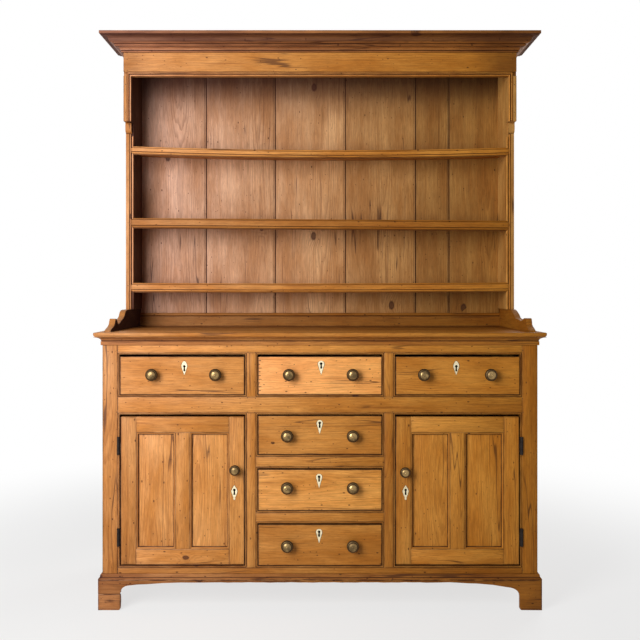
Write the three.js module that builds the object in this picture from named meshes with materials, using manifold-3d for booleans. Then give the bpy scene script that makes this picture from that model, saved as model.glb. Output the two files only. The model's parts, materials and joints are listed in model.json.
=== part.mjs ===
// Welsh dresser in waxed pine: an open plate rack on a base with six drawers and two panelled doors.
// Millimetres, +Z up. The front faces -Y, and the origin is on the floor under the middle of the dresser.
import * as THREE from 'three';
import { mergeVertices } from 'three/addons/utils/BufferGeometryUtils.js';
import Module from 'manifold-3d';

const wasm = await Module();
wasm.setup();

// Base: overall sizes and board thicknesses
const baseWidth = 1478;
const baseDepth = 470;
const worktopHeight = 940;
const worktopThickness = 16;
const worktopFrontOverhang = 35;
const worktopSideOverhang = 22;
const nosingRound = 5;
const sideThickness = 22;
const frameThickness = 22;
const backThickness = 14;
const floorThickness = 18;
const partitionThickness = 20;

// Base front, from the floor up. The three lower drawers share the height that the rails leave.
const bottomRailTop = 146;
const lowerCentreRail = 43;
const upperCentreRail = 46;
const middleRail = 66;
const topOpening = 138;
const topRail = 60;

// Base front, from the outside in
const outerStile = 58;
const muntinWidth = 43;
const centreOpening = 424;

// Moulding under the worktop
const coveHeight = 12;
const coveReach = 16;
const filletHeight = 16;
const filletProud = 5;

// Plinth with bracket feet
const plinthHeight = 120;
const plinthProud = 12;
const plinthCap = 18;
const archRail = 8;
const archRise = 17;
const footWidth = 75;
const footCurve = 40;
const sideFoot = 80;

// Drawer runners and guides, one section on every partition and side
const runnerThickness = 20;
const guideHeight = 16;

// Drawers
const drawerFrontThickness = 22;
const drawerBackGap = 36;
const drawerWall = 12;
const drawerBottom = 8;
const drawerBottomRise = 6;
const drawerSideGap = 2;
const drawerFootGap = 1.5;
const drawerHeadGap = 5;
const topDrawerHeadGap = 8;
const slideClearance = 0.3;

// Doors
const doorThickness = 22;
const doorStile = 52;
const doorTopRail = 53;
const doorBottomRail = 51;
const doorMuntin = 49;
const panelThickness = 8;
const panelRecess = 10;
const panelRebate = 9;
const panelFit = 0.3;
const doorHingeGap = 4;
const doorLockGap = 2;
const doorHeadGap = 8;
const doorFootGap = 5;

// Butt hinges
const hingeHeight = 60;
const hingeFromHead = 68;
const hingeFromFoot = 62;
const hingeLeaf = 1.2;
const hingeLeafDepth = 18;
const hingeBarrelRadius = 5;
const hingePinRadius = 2;
const hingePinClearance = 0.3;
const hingeSetIn = 3.5;
const hingeProud = 1.5;
const hingeBedding = 0.3;
const hingeKnuckleGap = 0.4;
const hingeMortiseClearance = 1;

// Knobs: turned brass on a stem that passes through the wood
const knobReach = 38;
const knobRadius = 21;
const doorKnobRadius = 18;
const knobStemRadius = 3;
const knobStemClearance = 0.3;
const knobStemProud = 4;
const doorKnobFromEdge = 31;

// Knob places, measured from the middle of each front
const leftKnobPitch = 215;
const leftKnobShift = 7;
const centreKnobPitch = 215;
const centreKnobShift = 3;
const rightKnobPitch = 226;
const rightKnobShift = -4;
const lowKnobPitch = 222;
const topKnobRise = 5;
const secondKnobRise = 0;
const thirdKnobRise = 11;
const fourthKnobRise = 2;
const leftDoorKnobDrop = 178;
const rightDoorKnobDrop = 185;

// Gallery: scrolled ends and a low back on the worktop
const galleryHeight = 70;
const galleryThickness = 22;
const galleryLead = 19;
const galleryTip = 6;
const upstandHeight = 52;
const upstandThickness = 20;
const upstandLead = 6;

// Plate rack, from the worktop up
const rackSideInset = 4;
const rackSideThickness = 28;
const rackDepth = 166;
const rackUpperLead = 37;
const rackBackMargin = 6;
const rackBackThickness = 14;
const rackRebate = 6;
const firstBay = 136;
const secondBay = 208;
const thirdBay = 241;
const topBay = 263;
const shelfEdge = 30;
const shelfEdgeDepth = 14;
const shelfBoard = 22;
const shelfHousing = 8;
const housingClearance = 0.3;
const friezeHeight = 133;
const friezeThickness = 22;
const beadWidth = 8;
const quirkWidth = 2;
const quirkDepth = 2;

// Scroll where the rack's sides step back
const stepBelowFrieze = 163;
const stepLip = 6;
const stepHeight = 41;
const stepBack = 9;

// Top of the rack
const topBoardThickness = 18;
const topBoardSink = 2;
const corniceHeight = 66;
const corniceReach = 72;

// A runner bears over this share of its thickness, and the plinth's arch eases in over this share of
// its half width
const runnerBearingShare = 1.2;
const archEaseShare = 0.4;

// Shares of the height for the second, third and fourth drawers
const lowerDrawerShares = [0.3224, 0.3388, 0.3388];

// Shares of the gallery's run and height, from the rack forward: each stretch as [run, drop, starts level]
const galleryScrollShares = [
  [0.301, 0.429, true], [0.122, 0.1, false], [0.1075, -0.157, false], [0.2365, 0, true],
  [0.0896, 0.314, true], [0.1434, 0.271, false],
];

// Shares: plank joints across a back, and section points from the inner bottom corner
const rackPlankShares = [0.1833, 0.3757, 0.5708, 0.7664, 0.8598];
const basePlankShares = [0.14, 0.3, 0.43, 0.58, 0.73, 0.87];
const corniceSectionShares = [
  [0, 0], [0.07, 0], [0.07, 0.06], [0.16, 0.06], [0.2, 0.1], [0.16, 0.15], [0.16, 0.18], [0.22, 0.18],
  [0.26, 0.22], [0.22, 0.27], [0.3, 0.34], [0.43, 0.42], [0.52, 0.52], [0.61, 0.68], [0.75, 0.78],
  [0.9, 0.83], [0.9, 0.87], [1, 0.87], [1, 1], [0, 1],
];
const capSectionShares = [
  [0, 0], [1, 0], [1, 0.3], [0.85, 0.55], [0.55, 0.78], [0.25, 0.9], [0.25, 1], [0, 1],
];
const knobSectionShares = [
  [0.6, 0], [0.6, 0.06], [0.36, 0.12], [0.36, 0.27], [0.86, 0.4], [1, 0.53], [0.92, 0.7],
  [0.7, 0.82], [0.62, 0.93], [0.36, 1],
];

// Cuts run past a face by this much, and pieces that are one board with another run into it by the same
const overrun = 2;
const quarterSteps = 5;
const barrelSides = 16;
const knobSides = 16;
const stemSides = 8;

// Heights and places worked out from those sizes
const worktopUnder = worktopHeight - worktopThickness;
const archHeight = plinthHeight - plinthCap - archRail;
const archShoulder = archHeight - archRise;
const railsHeight = lowerCentreRail + upperCentreRail + middleRail + topRail;
const lowerDrawersHeight = worktopUnder - bottomRailTop - topOpening - railsHeight;
const lowerOpenings = lowerDrawerShares.map((share) => share * lowerDrawersHeight);
const [secondOpening, thirdOpening, fourthOpening] = lowerOpenings;
const thirdRow = bottomRailTop + fourthOpening + lowerCentreRail;
const secondRow = thirdRow + thirdOpening + upperCentreRail;
const middleRailUnder = secondRow + secondOpening;
const topRow = middleRailUnder + middleRail;
const halfBase = baseWidth / 2;
const halfCentre = centreOpening / 2;
const openingOuter = halfBase - outerStile;
const openingInner = halfCentre + muntinWidth;
const sideOpening = openingOuter - openingInner;
const sideOpeningMiddle = openingInner + sideOpening / 2;
const sideInner = halfBase - sideThickness;
const partitionMiddle = halfCentre + muntinWidth / 2;
const partitionInner = partitionMiddle - partitionThickness / 2;
const partitionOuter = partitionMiddle + partitionThickness / 2;
const carcassBack = baseDepth - backThickness;
const runnerBearing = runnerThickness * runnerBearingShare;
const drawerDepth = carcassBack - drawerBackGap;

const doorFoot = bottomRailTop + doorFootGap;
const doorHead = middleRailUnder - doorHeadGap;
const hingeAxis = openingOuter + hingeSetIn;
const upperHinge = doorHead - hingeFromHead - hingeHeight / 2;
const lowerHinge = doorFoot + hingeFromFoot + hingeHeight / 2;

const frontReach = Math.max(knobReach, worktopFrontOverhang);
const overallDepth = baseDepth + frontReach;

const rackFoot = galleryHeight;
const firstShelf = firstBay + shelfEdge;
const secondShelf = firstShelf + secondBay + shelfEdge;
const thirdShelf = secondShelf + thirdBay + shelfEdge;
const friezeUnder = thirdShelf + topBay;
const friezeTop = friezeUnder + friezeHeight;
const rackTop = friezeTop + topBoardThickness + topBoardSink;
const rackFrontSetback = baseDepth - rackDepth;
const halfRack = halfBase - rackSideInset;
const rackInner = halfRack - rackSideThickness;
const rackUpperFront = rackFrontSetback - rackUpperLead;
const plankFront = baseDepth - rackBackMargin - rackBackThickness;
const plankBack = plankFront + rackBackThickness;
const plankReach = halfRack - Math.max(galleryThickness, rackSideThickness - rackRebate) - housingClearance;

// Colours of the finishes
function finish(color, roughness, metalness = 0) {
  return new THREE.MeshStandardMaterial({ color, roughness, metalness });
}

const pine = finish(0xb87a3d, 0.45);
const darkPine = finish(0x8a5226, 0.5);
const backPine = finish(0x94663a, 0.6);
const drawerPine = finish(0xc79a63, 0.7);
const brass = finish(0x7d6a3f, 0.35, 1);
const iron = finish(0x2b2724, 0.6, 1);

// A named mesh, shaded flat
function part(name, geometry, material) {
  geometry.computeVertexNormals();
  const mesh = new THREE.Mesh(geometry, material);
  mesh.name = name;
  return mesh;
}

// A group that holds some children at a place
function at(x, y, z, ...children) {
  const group = new THREE.Group();
  group.position.set(x, y, z);
  group.add(...children);
  return group;
}

// A geometry with only its corners, shared between its triangles
function corners(geometry) {
  const bare = new THREE.BufferGeometry();
  bare.setAttribute('position', geometry.getAttribute('position'));
  if (geometry.index) bare.setIndex(geometry.index);
  return mergeVertices(bare);
}

// A closed geometry as a solid that can be cut and joined
function solid(geometry) {
  const merged = corners(geometry);
  const mesh = new wasm.Mesh({
    numProp: 3,
    vertProperties: new Float32Array(merged.attributes.position.array),
    triVerts: new Uint32Array(merged.index.array),
  });
  return new wasm.Manifold(mesh);
}

// A solid as a geometry
function surface(body) {
  const mesh = body.getMesh();
  const places = new Float32Array(mesh.numVert * 3);
  for (let i = 0; i < mesh.numVert; i++) {
    places.set(mesh.vertProperties.subarray(i * mesh.numProp, i * mesh.numProp + 3), i * 3);
  }
  const geometry = new THREE.BufferGeometry();
  geometry.setAttribute('position', new THREE.BufferAttribute(places, 3));
  geometry.setIndex(new THREE.BufferAttribute(new Uint32Array(mesh.triVerts), 1));
  return geometry.toNonIndexed();
}

// The first geometry less all the others
function cut(geometry, ...tools) {
  return surface(tools.reduce((body, tool) => body.subtract(solid(tool)), solid(geometry)));
}

// All the geometries as one
function join(geometry, ...others) {
  return surface(others.reduce((body, other) => body.add(solid(other)), solid(geometry)));
}

// A board between two corners
function board(x0, x1, y0, y1, z0, z1) {
  const geometry = new THREE.BoxGeometry(x1 - x0, y1 - y0, z1 - z0);
  return geometry.translate((x0 + x1) / 2, (y0 + y1) / 2, (z0 + z1) / 2);
}

// An outline drawn in one pair of axes and extruded along the third, between two places on it
const outlineAxes = {
  xy: [[1, 0, 0], [0, 1, 0], [0, 0, 1]],
  yz: [[0, 1, 0], [0, 0, 1], [1, 0, 0]],
  xz: [[1, 0, 0], [0, 0, 1], [0, -1, 0]],
};

function prism(plane, outline, from, to) {
  const shape = outline instanceof THREE.Shape ? outline : shapeOf(outline);
  const settings = { depth: to - from, bevelEnabled: false, curveSegments: quarterSteps };
  const geometry = new THREE.ExtrudeGeometry(shape, settings);
  const [u, v, w] = outlineAxes[plane].map((axis) => new THREE.Vector3(...axis));
  const start = plane === 'xz' ? w.clone().multiplyScalar(-to) : w.clone().multiplyScalar(from);
  return geometry.applyMatrix4(new THREE.Matrix4().makeBasis(u, v, w).setPosition(start));
}

function shapeOf(points) {
  return new THREE.Shape(points.map(([u, v]) => new THREE.Vector2(u, v)));
}

// Two places in rising order
function ordered(a, b) {
  return a < b ? [a, b] : [b, a];
}

// A round hole's outline, drawn as straight sides
function circle(u, v, radius, sides) {
  return Array.from({ length: sides }, (_, i) => {
    const turn = (i / sides) * Math.PI * 2;
    return [u + radius * Math.cos(turn), v + radius * Math.sin(turn)];
  });
}

// Adds a quarter of an ellipse to a list of points: levelFirst starts along u and ends along v
function quarter(points, run, rise, levelFirst) {
  const [u, v] = points[points.length - 1];
  for (let i = 1; i <= quarterSteps; i++) {
    const angle = (i / quarterSteps) * (Math.PI / 2);
    const early = Math.sin(angle);
    const late = 1 - Math.cos(angle);
    points.push(levelFirst ? [u + run * early, v + rise * late] : [u + run * late, v + rise * early]);
  }
}

// A closed skin over a row of like outlines. The flat outline gives the triangles of both ends.
function loft(sections, outline) {
  const count = outline.length;
  const places = sections.flat();
  const faces = [];
  for (let s = 0; s + 1 < sections.length; s++) {
    for (let i = 0; i < count; i++) {
      const a = s * count + i;
      const b = s * count + ((i + 1) % count);
      faces.push([a, b, b + count], [a, b + count, a + count]);
    }
  }
  const ends = THREE.ShapeUtils.triangulateShape(outline.map(([u, v]) => new THREE.Vector2(u, v)), []);
  const last = (sections.length - 1) * count;
  for (const [a, b, c] of ends) {
    faces.push([c, b, a], [a + last, b + last, c + last]);
  }
  const volume = faces.reduce((sum, [a, b, c]) => {
    const [p, q, r] = [a, b, c].map((i) => new THREE.Vector3(...places[i]));
    return sum + p.dot(q.cross(r));
  }, 0);
  const wound = volume < 0 ? faces.map(([a, b, c]) => [a, c, b]) : faces;
  const geometry = new THREE.BufferGeometry();
  geometry.setAttribute('position', new THREE.Float32BufferAttribute(places.flat(), 3));
  geometry.setIndex(wound.flat());
  return geometry.toNonIndexed();
}

// A moulding round the front and both sides, mitred at the corners. A section point is
// [projection, height].
function mouldingRound(section, halfWidth, front, back) {
  const stations = [
    section.map(([p, z]) => [-halfWidth - p, back, z]),
    section.map(([p, z]) => [-halfWidth - p, front - p, z]),
    section.map(([p, z]) => [halfWidth + p, front - p, z]),
    section.map(([p, z]) => [halfWidth + p, back, z]),
  ];
  return loft(stations, section);
}

function sectionFrom(shares, reach, height, bottom) {
  return shares.map(([p, z]) => [p * reach, bottom + z * height]);
}

// Base

function makeFaceFrame() {
  const opening = (x0, x1, foot, head) => board(x0, x1, -overrun, frameThickness + overrun, foot, head);
  const cuts = [
    opening(-openingOuter, openingOuter, -overrun, archHeight),
    opening(-halfCentre, halfCentre, bottomRailTop, bottomRailTop + fourthOpening),
    opening(-halfCentre, halfCentre, thirdRow, thirdRow + thirdOpening),
    opening(-halfCentre, halfCentre, secondRow, middleRailUnder),
    opening(-halfCentre, halfCentre, topRow, topRow + topOpening),
  ];
  for (const side of [-1, 1]) {
    const edges = ordered(side * openingInner, side * openingOuter);
    cuts.push(opening(...edges, topRow, topRow + topOpening));
    cuts.push(opening(...edges, bottomRailTop, middleRailUnder));
    cuts.push(hingeMortise(side, upperHinge), hingeMortise(side, lowerHinge));
  }
  const blank = board(-halfBase, halfBase, 0, frameThickness, 0, worktopUnder);
  return part('base_face_frame', cut(blank, ...cuts), pine);
}

// A side stands on two feet, with an arch between them, and carries one runner
function makeBaseSide(side) {
  const outline = [
    [frameThickness, 0], [sideFoot, 0], [sideFoot, archShoulder], [baseDepth - sideFoot, archShoulder],
    [baseDepth - sideFoot, 0], [baseDepth, 0], [baseDepth, worktopUnder], [frameThickness, worktopUnder],
  ];
  const [from, to] = ordered(side * halfBase, side * sideInner);
  const upright = prism('yz', outline, from, to);
  const geometry = join(upright, runner(side * sideInner, side * openingOuter, topRow));
  return part(side < 0 ? 'base_side_left' : 'base_side_right', geometry, pine);
}

// A runner with its guide, from the board at one x to the line of the opening's edge at the other
function runner(boardFace, openingEdge, bearingHeight) {
  const inward = Math.sign(openingEdge - boardFace);
  const outline = [
    [boardFace - inward * overrun, bearingHeight - runnerThickness],
    [openingEdge + inward * runnerBearing, bearingHeight - runnerThickness],
    [openingEdge + inward * runnerBearing, bearingHeight],
    [openingEdge, bearingHeight],
    [openingEdge, bearingHeight + guideHeight],
    [boardFace - inward * overrun, bearingHeight + guideHeight],
  ];
  return prism('xz', outline, frameThickness, carcassBack);
}

function makePartition(side) {
  const faces = ordered(side * partitionInner, side * partitionOuter);
  const upright = board(...faces, frameThickness, carcassBack, bottomRailTop, worktopUnder);
  const runners = [topRow, secondRow, thirdRow].map((height) => (
    runner(side * partitionInner, side * halfCentre, height)
  ));
  runners.push(runner(side * partitionOuter, side * openingInner, topRow));
  return part(side < 0 ? 'base_partition_left' : 'base_partition_right', join(upright, ...runners), pine);
}

// A row of upright boards as one body, with a groove at each joint on the face that shows
function plankedBoard(halfWidth, shares, shown, hidden, foot, head) {
  const groove = shown + Math.sign(hidden - shown) * quirkDepth;
  const outline = [[-halfWidth, hidden], [-halfWidth, shown]];
  for (const share of shares) {
    const x = (2 * share - 1) * halfWidth;
    outline.push([x - quirkWidth / 2, shown], [x, groove], [x + quirkWidth / 2, shown]);
  }
  outline.push([halfWidth, shown], [halfWidth, hidden]);
  return prism('xy', outline, foot, head);
}

function makeWorktop() {
  const half = halfBase + worktopSideOverhang;
  const levels = [
    [nosingRound, 0], [0, nosingRound], [0, worktopThickness - nosingRound / 2],
    [nosingRound / 2, worktopThickness],
  ];
  const sections = levels.map(([inset, rise]) => [
    [-half + inset, baseDepth, rise], [-half + inset, inset - worktopFrontOverhang, rise],
    [half - inset, inset - worktopFrontOverhang, rise], [half - inset, baseDepth, rise],
  ]);
  const plan = sections[0].map(([x, y]) => [x, y]);
  const geometry = loft(sections, plan).translate(0, 0, worktopUnder);
  return part('worktop', geometry, pine);
}

function makeWorktopMoulding() {
  const filletFoot = worktopUnder - coveHeight - filletHeight;
  const section = [[0, worktopUnder], [0, filletFoot], [filletProud, filletFoot]];
  section.push([filletProud, worktopUnder - coveHeight]);
  quarter(section, coveReach - filletProud, coveHeight, false);
  return part('worktop_moulding', mouldingRound(section, halfBase, 0, baseDepth), darkPine);
}

function makePlinth() {
  const outer = halfBase + plinthProud;
  const footInner = outer - footWidth;
  const archEase = footInner * archEaseShare;
  const capFoot = plinthHeight - plinthCap;
  const boardTop = capFoot + overrun;

  const arch = new THREE.Shape();
  arch.moveTo(-outer, 0);
  arch.lineTo(-footInner, 0);
  arch.lineTo(-footInner, archShoulder - footCurve);
  arch.absarc(-footInner + footCurve, archShoulder - footCurve, footCurve, Math.PI, Math.PI / 2, true);
  arch.quadraticCurveTo(-footInner + archEase / 2, archHeight, -footInner + archEase, archHeight);
  arch.lineTo(footInner - archEase, archHeight);
  arch.quadraticCurveTo(footInner - archEase / 2, archHeight, footInner - footCurve, archShoulder);
  arch.absarc(footInner - footCurve, archShoulder - footCurve, footCurve, Math.PI / 2, 0, true);
  arch.lineTo(footInner, 0);
  arch.lineTo(outer, 0);
  arch.lineTo(outer, boardTop);
  arch.lineTo(-outer, boardTop);
  const front = prism('xz', arch, -plinthProud, 0);

  const returnOutline = [[-plinthProud, 0], [sideFoot, 0], [sideFoot, archShoulder - footCurve]];
  quarter(returnOutline, footCurve, footCurve, false);
  returnOutline.push([baseDepth - sideFoot - footCurve, archShoulder]);
  quarter(returnOutline, footCurve, -footCurve, true);
  returnOutline.push([baseDepth - sideFoot, 0], [baseDepth, 0], [baseDepth, boardTop]);
  returnOutline.push([-plinthProud, boardTop]);
  const left = prism('yz', returnOutline, -outer, -halfBase);
  const right = prism('yz', returnOutline, halfBase, outer);

  const capSection = sectionFrom(capSectionShares, plinthProud, plinthCap, capFoot);
  const cap = mouldingRound(capSection, halfBase, 0, baseDepth);
  return part('plinth', join(front, left, right, cap), pine);
}

function makeBase() {
  const floor = board(-sideInner, sideInner, frameThickness, carcassBack, bottomRailTop - floorThickness,
    bottomRailTop);
  const back = plankedBoard(sideInner, basePlankShares, baseDepth, carcassBack, archHeight, worktopUnder);
  return at(0, 0, 0, makeFaceFrame(), makeBaseSide(-1), makeBaseSide(1), makePartition(-1),
    makePartition(1), part('base_floor', floor, drawerPine), part('base_back', back, backPine),
    makePlinth(), makeWorktop(), makeWorktopMoulding());
}

// Gallery, measured from the worktop's face

function makeGalleryEnd(side) {
  const scrollBack = rackFrontSetback - galleryLead;
  const scrollRun = scrollBack - galleryTip;
  const outline = [[baseDepth, 0], [baseDepth, galleryHeight], [scrollBack, galleryHeight]];
  for (const [run, drop, levelFirst] of galleryScrollShares) {
    const [y, z] = outline[outline.length - 1];
    if (drop === 0) outline.push([y - run * scrollRun, z]);
    else quarter(outline, -run * scrollRun, -drop * galleryHeight, levelFirst);
  }
  outline.push([galleryTip, 0]);
  const [from, to] = ordered(side * halfRack, side * (halfRack - galleryThickness));
  const geometry = prism('yz', outline, from, to);
  return part(side < 0 ? 'gallery_left' : 'gallery_right', geometry, pine);
}

function makeGallery() {
  const inner = halfRack - galleryThickness;
  const front = plankFront - upstandLead;
  const upstand = board(-inner, inner, front, front + upstandThickness, 0, upstandHeight);
  return at(0, 0, worktopHeight, makeGalleryEnd(-1), makeGalleryEnd(1),
    part('gallery_back', upstand, pine));
}

// Rack, measured from the worktop's face too

function makeRackSide(side) {
  const step = friezeUnder - stepBelowFrieze;
  const friezeBack = rackUpperFront + friezeThickness;
  const outline = [
    [baseDepth, rackFoot], [baseDepth, friezeTop], [friezeBack, friezeTop], [friezeBack, friezeUnder],
    [rackUpperFront, friezeUnder], [rackUpperFront, step],
  ];
  quarter(outline, stepLip, -stepLip, false);
  const ledge = rackFrontSetback - stepBack;
  outline.push([ledge, step - stepLip], [ledge, step - stepHeight + stepBack]);
  quarter(outline, stepBack, -stepBack, false);
  outline.push([rackFrontSetback, rackFoot]);
  const inner = side * rackInner;
  const [from, to] = ordered(side * halfRack, inner);
  const blank = prism('yz', outline, from, to);

  const cuts = [];
  const inwards = (depth) => ordered(inner - side * overrun, inner + side * depth);
  cuts.push(board(...inwards(rackRebate), plankFront, baseDepth + overrun, 0, friezeTop + overrun));
  for (const top of [firstShelf, secondShelf, thirdShelf]) {
    cuts.push(board(...inwards(shelfHousing + housingClearance), rackFrontSetback + shelfEdgeDepth,
      plankFront + overrun, top - shelfBoard - housingClearance, top + housingClearance));
  }
  cuts.push(sideQuirk(side, rackFrontSetback, rackFoot - overrun, step - stepHeight));
  cuts.push(sideQuirk(side, rackUpperFront, step - stepLip - overrun, friezeUnder));
  return part(side < 0 ? 'rack_side_left' : 'rack_side_right', cut(blank, ...cuts), pine);
}

// The quirk that sets off the bead on a side's front edge
function sideQuirk(side, front, foot, head) {
  const near = side * (rackInner + beadWidth);
  const [from, to] = ordered(near, near + side * quirkWidth);
  return board(from, to, front - overrun, front + quirkDepth, foot, head);
}

function makeFrieze() {
  const front = rackUpperFront;
  const quirkFoot = friezeUnder + beadWidth;
  const outline = [
    [front, friezeUnder], [front + friezeThickness, friezeUnder], [front + friezeThickness, friezeTop],
    [front, friezeTop], [front, quirkFoot + quirkWidth], [front + quirkDepth, quirkFoot + quirkWidth],
    [front + quirkDepth, quirkFoot], [front, quirkFoot],
  ];
  return part('rack_frieze', prism('yz', outline, -halfRack, halfRack), pine);
}

// A shelf with a deeper reeded edge, its board let into the sides
function makeShelf(name, top) {
  const reed = shelfEdge / 3;
  const front = rackFrontSetback;
  const foot = top - shelfEdge;
  const edge = [[front, foot]];
  edge.push([front + shelfEdgeDepth, foot], [front + shelfEdgeDepth, top], [front, top]);
  for (const line of [foot + 2 * reed, foot + reed]) {
    edge.push([front, line + quirkWidth / 2], [front + quirkDepth, line], [front, line - quirkWidth / 2]);
  }
  const strip = prism('yz', edge, -rackInner, rackInner);
  const reach = rackInner + shelfHousing;
  const boardFront = front + shelfEdgeDepth;
  const broad = board(-reach, reach, boardFront + housingClearance, plankFront, top - shelfBoard, top);
  const neck = board(-rackInner + overrun, rackInner - overrun, boardFront - overrun, boardFront + overrun,
    top - shelfBoard, top);
  return part(name, join(strip, neck, broad), pine);
}

function makeRack() {
  const planks = plankedBoard(plankReach, rackPlankShares, plankFront, plankBack, upstandHeight, friezeTop);
  const lidTop = friezeTop + topBoardThickness;
  const lid = board(-halfRack, halfRack, rackUpperFront, baseDepth, friezeTop, lidTop);
  const section = sectionFrom(corniceSectionShares, corniceReach, corniceHeight, rackTop - corniceHeight);
  const cornice = mouldingRound(section, halfRack, rackUpperFront, baseDepth);
  return at(0, 0, worktopHeight, makeRackSide(-1), makeRackSide(1), makeFrieze(),
    makeShelf('rack_shelf_bottom', firstShelf), makeShelf('rack_shelf_middle', secondShelf),
    makeShelf('rack_shelf_top', thirdShelf), part('rack_back_boards', planks, backPine),
    part('rack_top_board', lid, pine), part('rack_cornice', cornice, darkPine));
}

// A turned knob that stands on the wood at y and faces -Y, with its stem through the wood
function makeKnob(name, x, y, z, radius, woodThickness) {
  const stemBack = -woodThickness - knobStemProud;
  const shoulder = knobReach * (radius / knobRadius);
  const profile = [[0, stemBack], [knobStemRadius, stemBack], [knobStemRadius, 0]];
  for (const [r, along] of knobSectionShares) profile.push([r * radius, along * shoulder]);
  profile.push([0, shoulder]);
  const points = profile.map(([r, along]) => new THREE.Vector2(r, along));
  const mesh = part(name, new THREE.LatheGeometry(points, knobSides).rotateX(Math.PI), brass);
  mesh.position.set(x, y, z);
  return mesh;
}

function stemBore(x, z, front, back) {
  const outline = circle(x, z, knobStemRadius + knobStemClearance, stemSides);
  return prism('xz', outline, front - overrun, back + overrun);
}

// Drawers, each measured from the middle of its front's lower edge

const drawers = [
  { name: 'top_left', x: -sideOpeningMiddle, width: sideOpening, foot: topRow, opening: topOpening,
    head: topDrawerHeadGap, pitch: leftKnobPitch, shift: leftKnobShift, rise: topKnobRise },
  { name: 'top_centre', x: 0, width: centreOpening, foot: topRow, opening: topOpening,
    head: topDrawerHeadGap, pitch: centreKnobPitch, shift: centreKnobShift, rise: topKnobRise },
  { name: 'top_right', x: sideOpeningMiddle, width: sideOpening, foot: topRow, opening: topOpening,
    head: topDrawerHeadGap, pitch: rightKnobPitch, shift: rightKnobShift, rise: topKnobRise },
  { name: 'second', x: 0, width: centreOpening, foot: secondRow, opening: secondOpening,
    head: drawerHeadGap, pitch: lowKnobPitch, shift: 0, rise: secondKnobRise },
  { name: 'third', x: 0, width: centreOpening, foot: thirdRow, opening: thirdOpening,
    head: drawerHeadGap, pitch: lowKnobPitch, shift: 0, rise: thirdKnobRise },
  { name: 'fourth', x: 0, width: centreOpening, foot: bottomRailTop, opening: fourthOpening,
    head: drawerHeadGap, pitch: lowKnobPitch, shift: 0, rise: fourthKnobRise },
];

function makeDrawer(spec) {
  const half = spec.width / 2 - drawerSideGap;
  const foot = drawerFootGap;
  const head = spec.opening - spec.head;
  const knobHeight = (foot + head) / 2 + spec.rise;
  const knobX = [spec.shift - spec.pitch / 2, spec.shift + spec.pitch / 2];

  const bores = knobX.map((x) => stemBore(x, knobHeight, 0, drawerFrontThickness));
  const front = cut(board(-half, half, 0, drawerFrontThickness, foot, head), ...bores);

  const boxHead = head - drawerFootGap;
  const boxBack = drawerDepth - drawerWall;
  const outer = board(-half, half, drawerFrontThickness, drawerDepth, slideClearance, boxHead);
  const inside = board(-half + drawerWall, half - drawerWall, drawerFrontThickness - overrun, boxBack,
    drawerBottomRise + drawerBottom, boxHead + overrun);
  const under = board(-half + drawerWall, half - drawerWall, drawerFrontThickness - overrun,
    drawerDepth + overrun, slideClearance - overrun, drawerBottomRise);

  return at(spec.x, 0, spec.foot,
    part('drawer_' + spec.name + '_front', front, pine),
    part('drawer_' + spec.name + '_box', cut(outer, inside, under), drawerPine),
    makeKnob('knob_' + spec.name + '_left', knobX[0], 0, knobHeight, knobRadius, drawerFrontThickness),
    makeKnob('knob_' + spec.name + '_right', knobX[1], 0, knobHeight, knobRadius, drawerFrontThickness));
}

// Doors and hinges. A hinge's axis is let into the stile's edge and stands a little proud of the face.

function hingeMortise(side, height) {
  const reach = hingeBarrelRadius + hingeMortiseClearance;
  const edges = ordered(side * (hingeAxis + reach), side * (openingOuter - overrun));
  const half = hingeHeight / 2 + hingeKnuckleGap;
  return board(...edges, -overrun, reach - hingeProud, height - half, height + half);
}

// One leaf, measured from the hinge's axis at mid height: its plate lies on the wood, and webs join it
// to its knuckles, which stand at the given spans. The other leaf's webs pass in front of the plate.
function makeLeaf(name, woodFace, outward, spans, bore) {
  const plateFace = woodFace + outward * hingeBedding;
  const plateFar = plateFace + outward * hingeLeaf;
  const plate = ordered(plateFace, plateFar);
  const web = Math.abs(plateFace) > Math.abs(plateFar) ? ordered(0, plateFace) : ordered(0, plateFar);
  const webFront = hingePinRadius + hingePinClearance + hingeKnuckleGap;
  const plateFront = hingeBarrelRadius + hingeKnuckleGap;
  const half = hingeHeight / 2;
  const pieces = [board(...plate, plateFront, hingeProud + hingeLeafDepth, -half, half)];
  for (const [from, to] of spans) {
    pieces.push(board(...plate, webFront, plateFront + hingeKnuckleGap, from, to));
    pieces.push(board(...web, webFront, hingeBarrelRadius, from, to));
    pieces.push(prism('xy', circle(0, 0, hingeBarrelRadius, barrelSides), from, to));
  }
  if (!bore) pieces.push(prism('xy', circle(0, 0, hingePinRadius, stemSides), -half, half));
  const leaf = join(...pieces);
  if (!bore) return part(name, leaf, iron);
  return part(name, cut(leaf, prism('xy', circle(0, 0, bore, stemSides), -half, half)), iron);
}

function makeHinge(side, height, level) {
  const inward = -side;
  const name = 'hinge_' + (side < 0 ? 'left' : 'right') + '_' + level;
  const half = hingeHeight / 2;
  const third = half / 3;
  const middle = third - hingeKnuckleGap;
  const outerSpans = [[-half, -third], [third, half]];
  const frameLeaf = makeLeaf(name + '_frame_leaf', inward * hingeSetIn, inward, outerSpans, 0);
  const doorLeaf = makeLeaf(name + '_door_leaf', inward * (hingeSetIn + doorHingeGap), -inward,
    [[-middle, middle]], hingePinRadius + hingePinClearance);
  return at(side * hingeAxis, -hingeProud, height, frameLeaf, doorLeaf);
}

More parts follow.
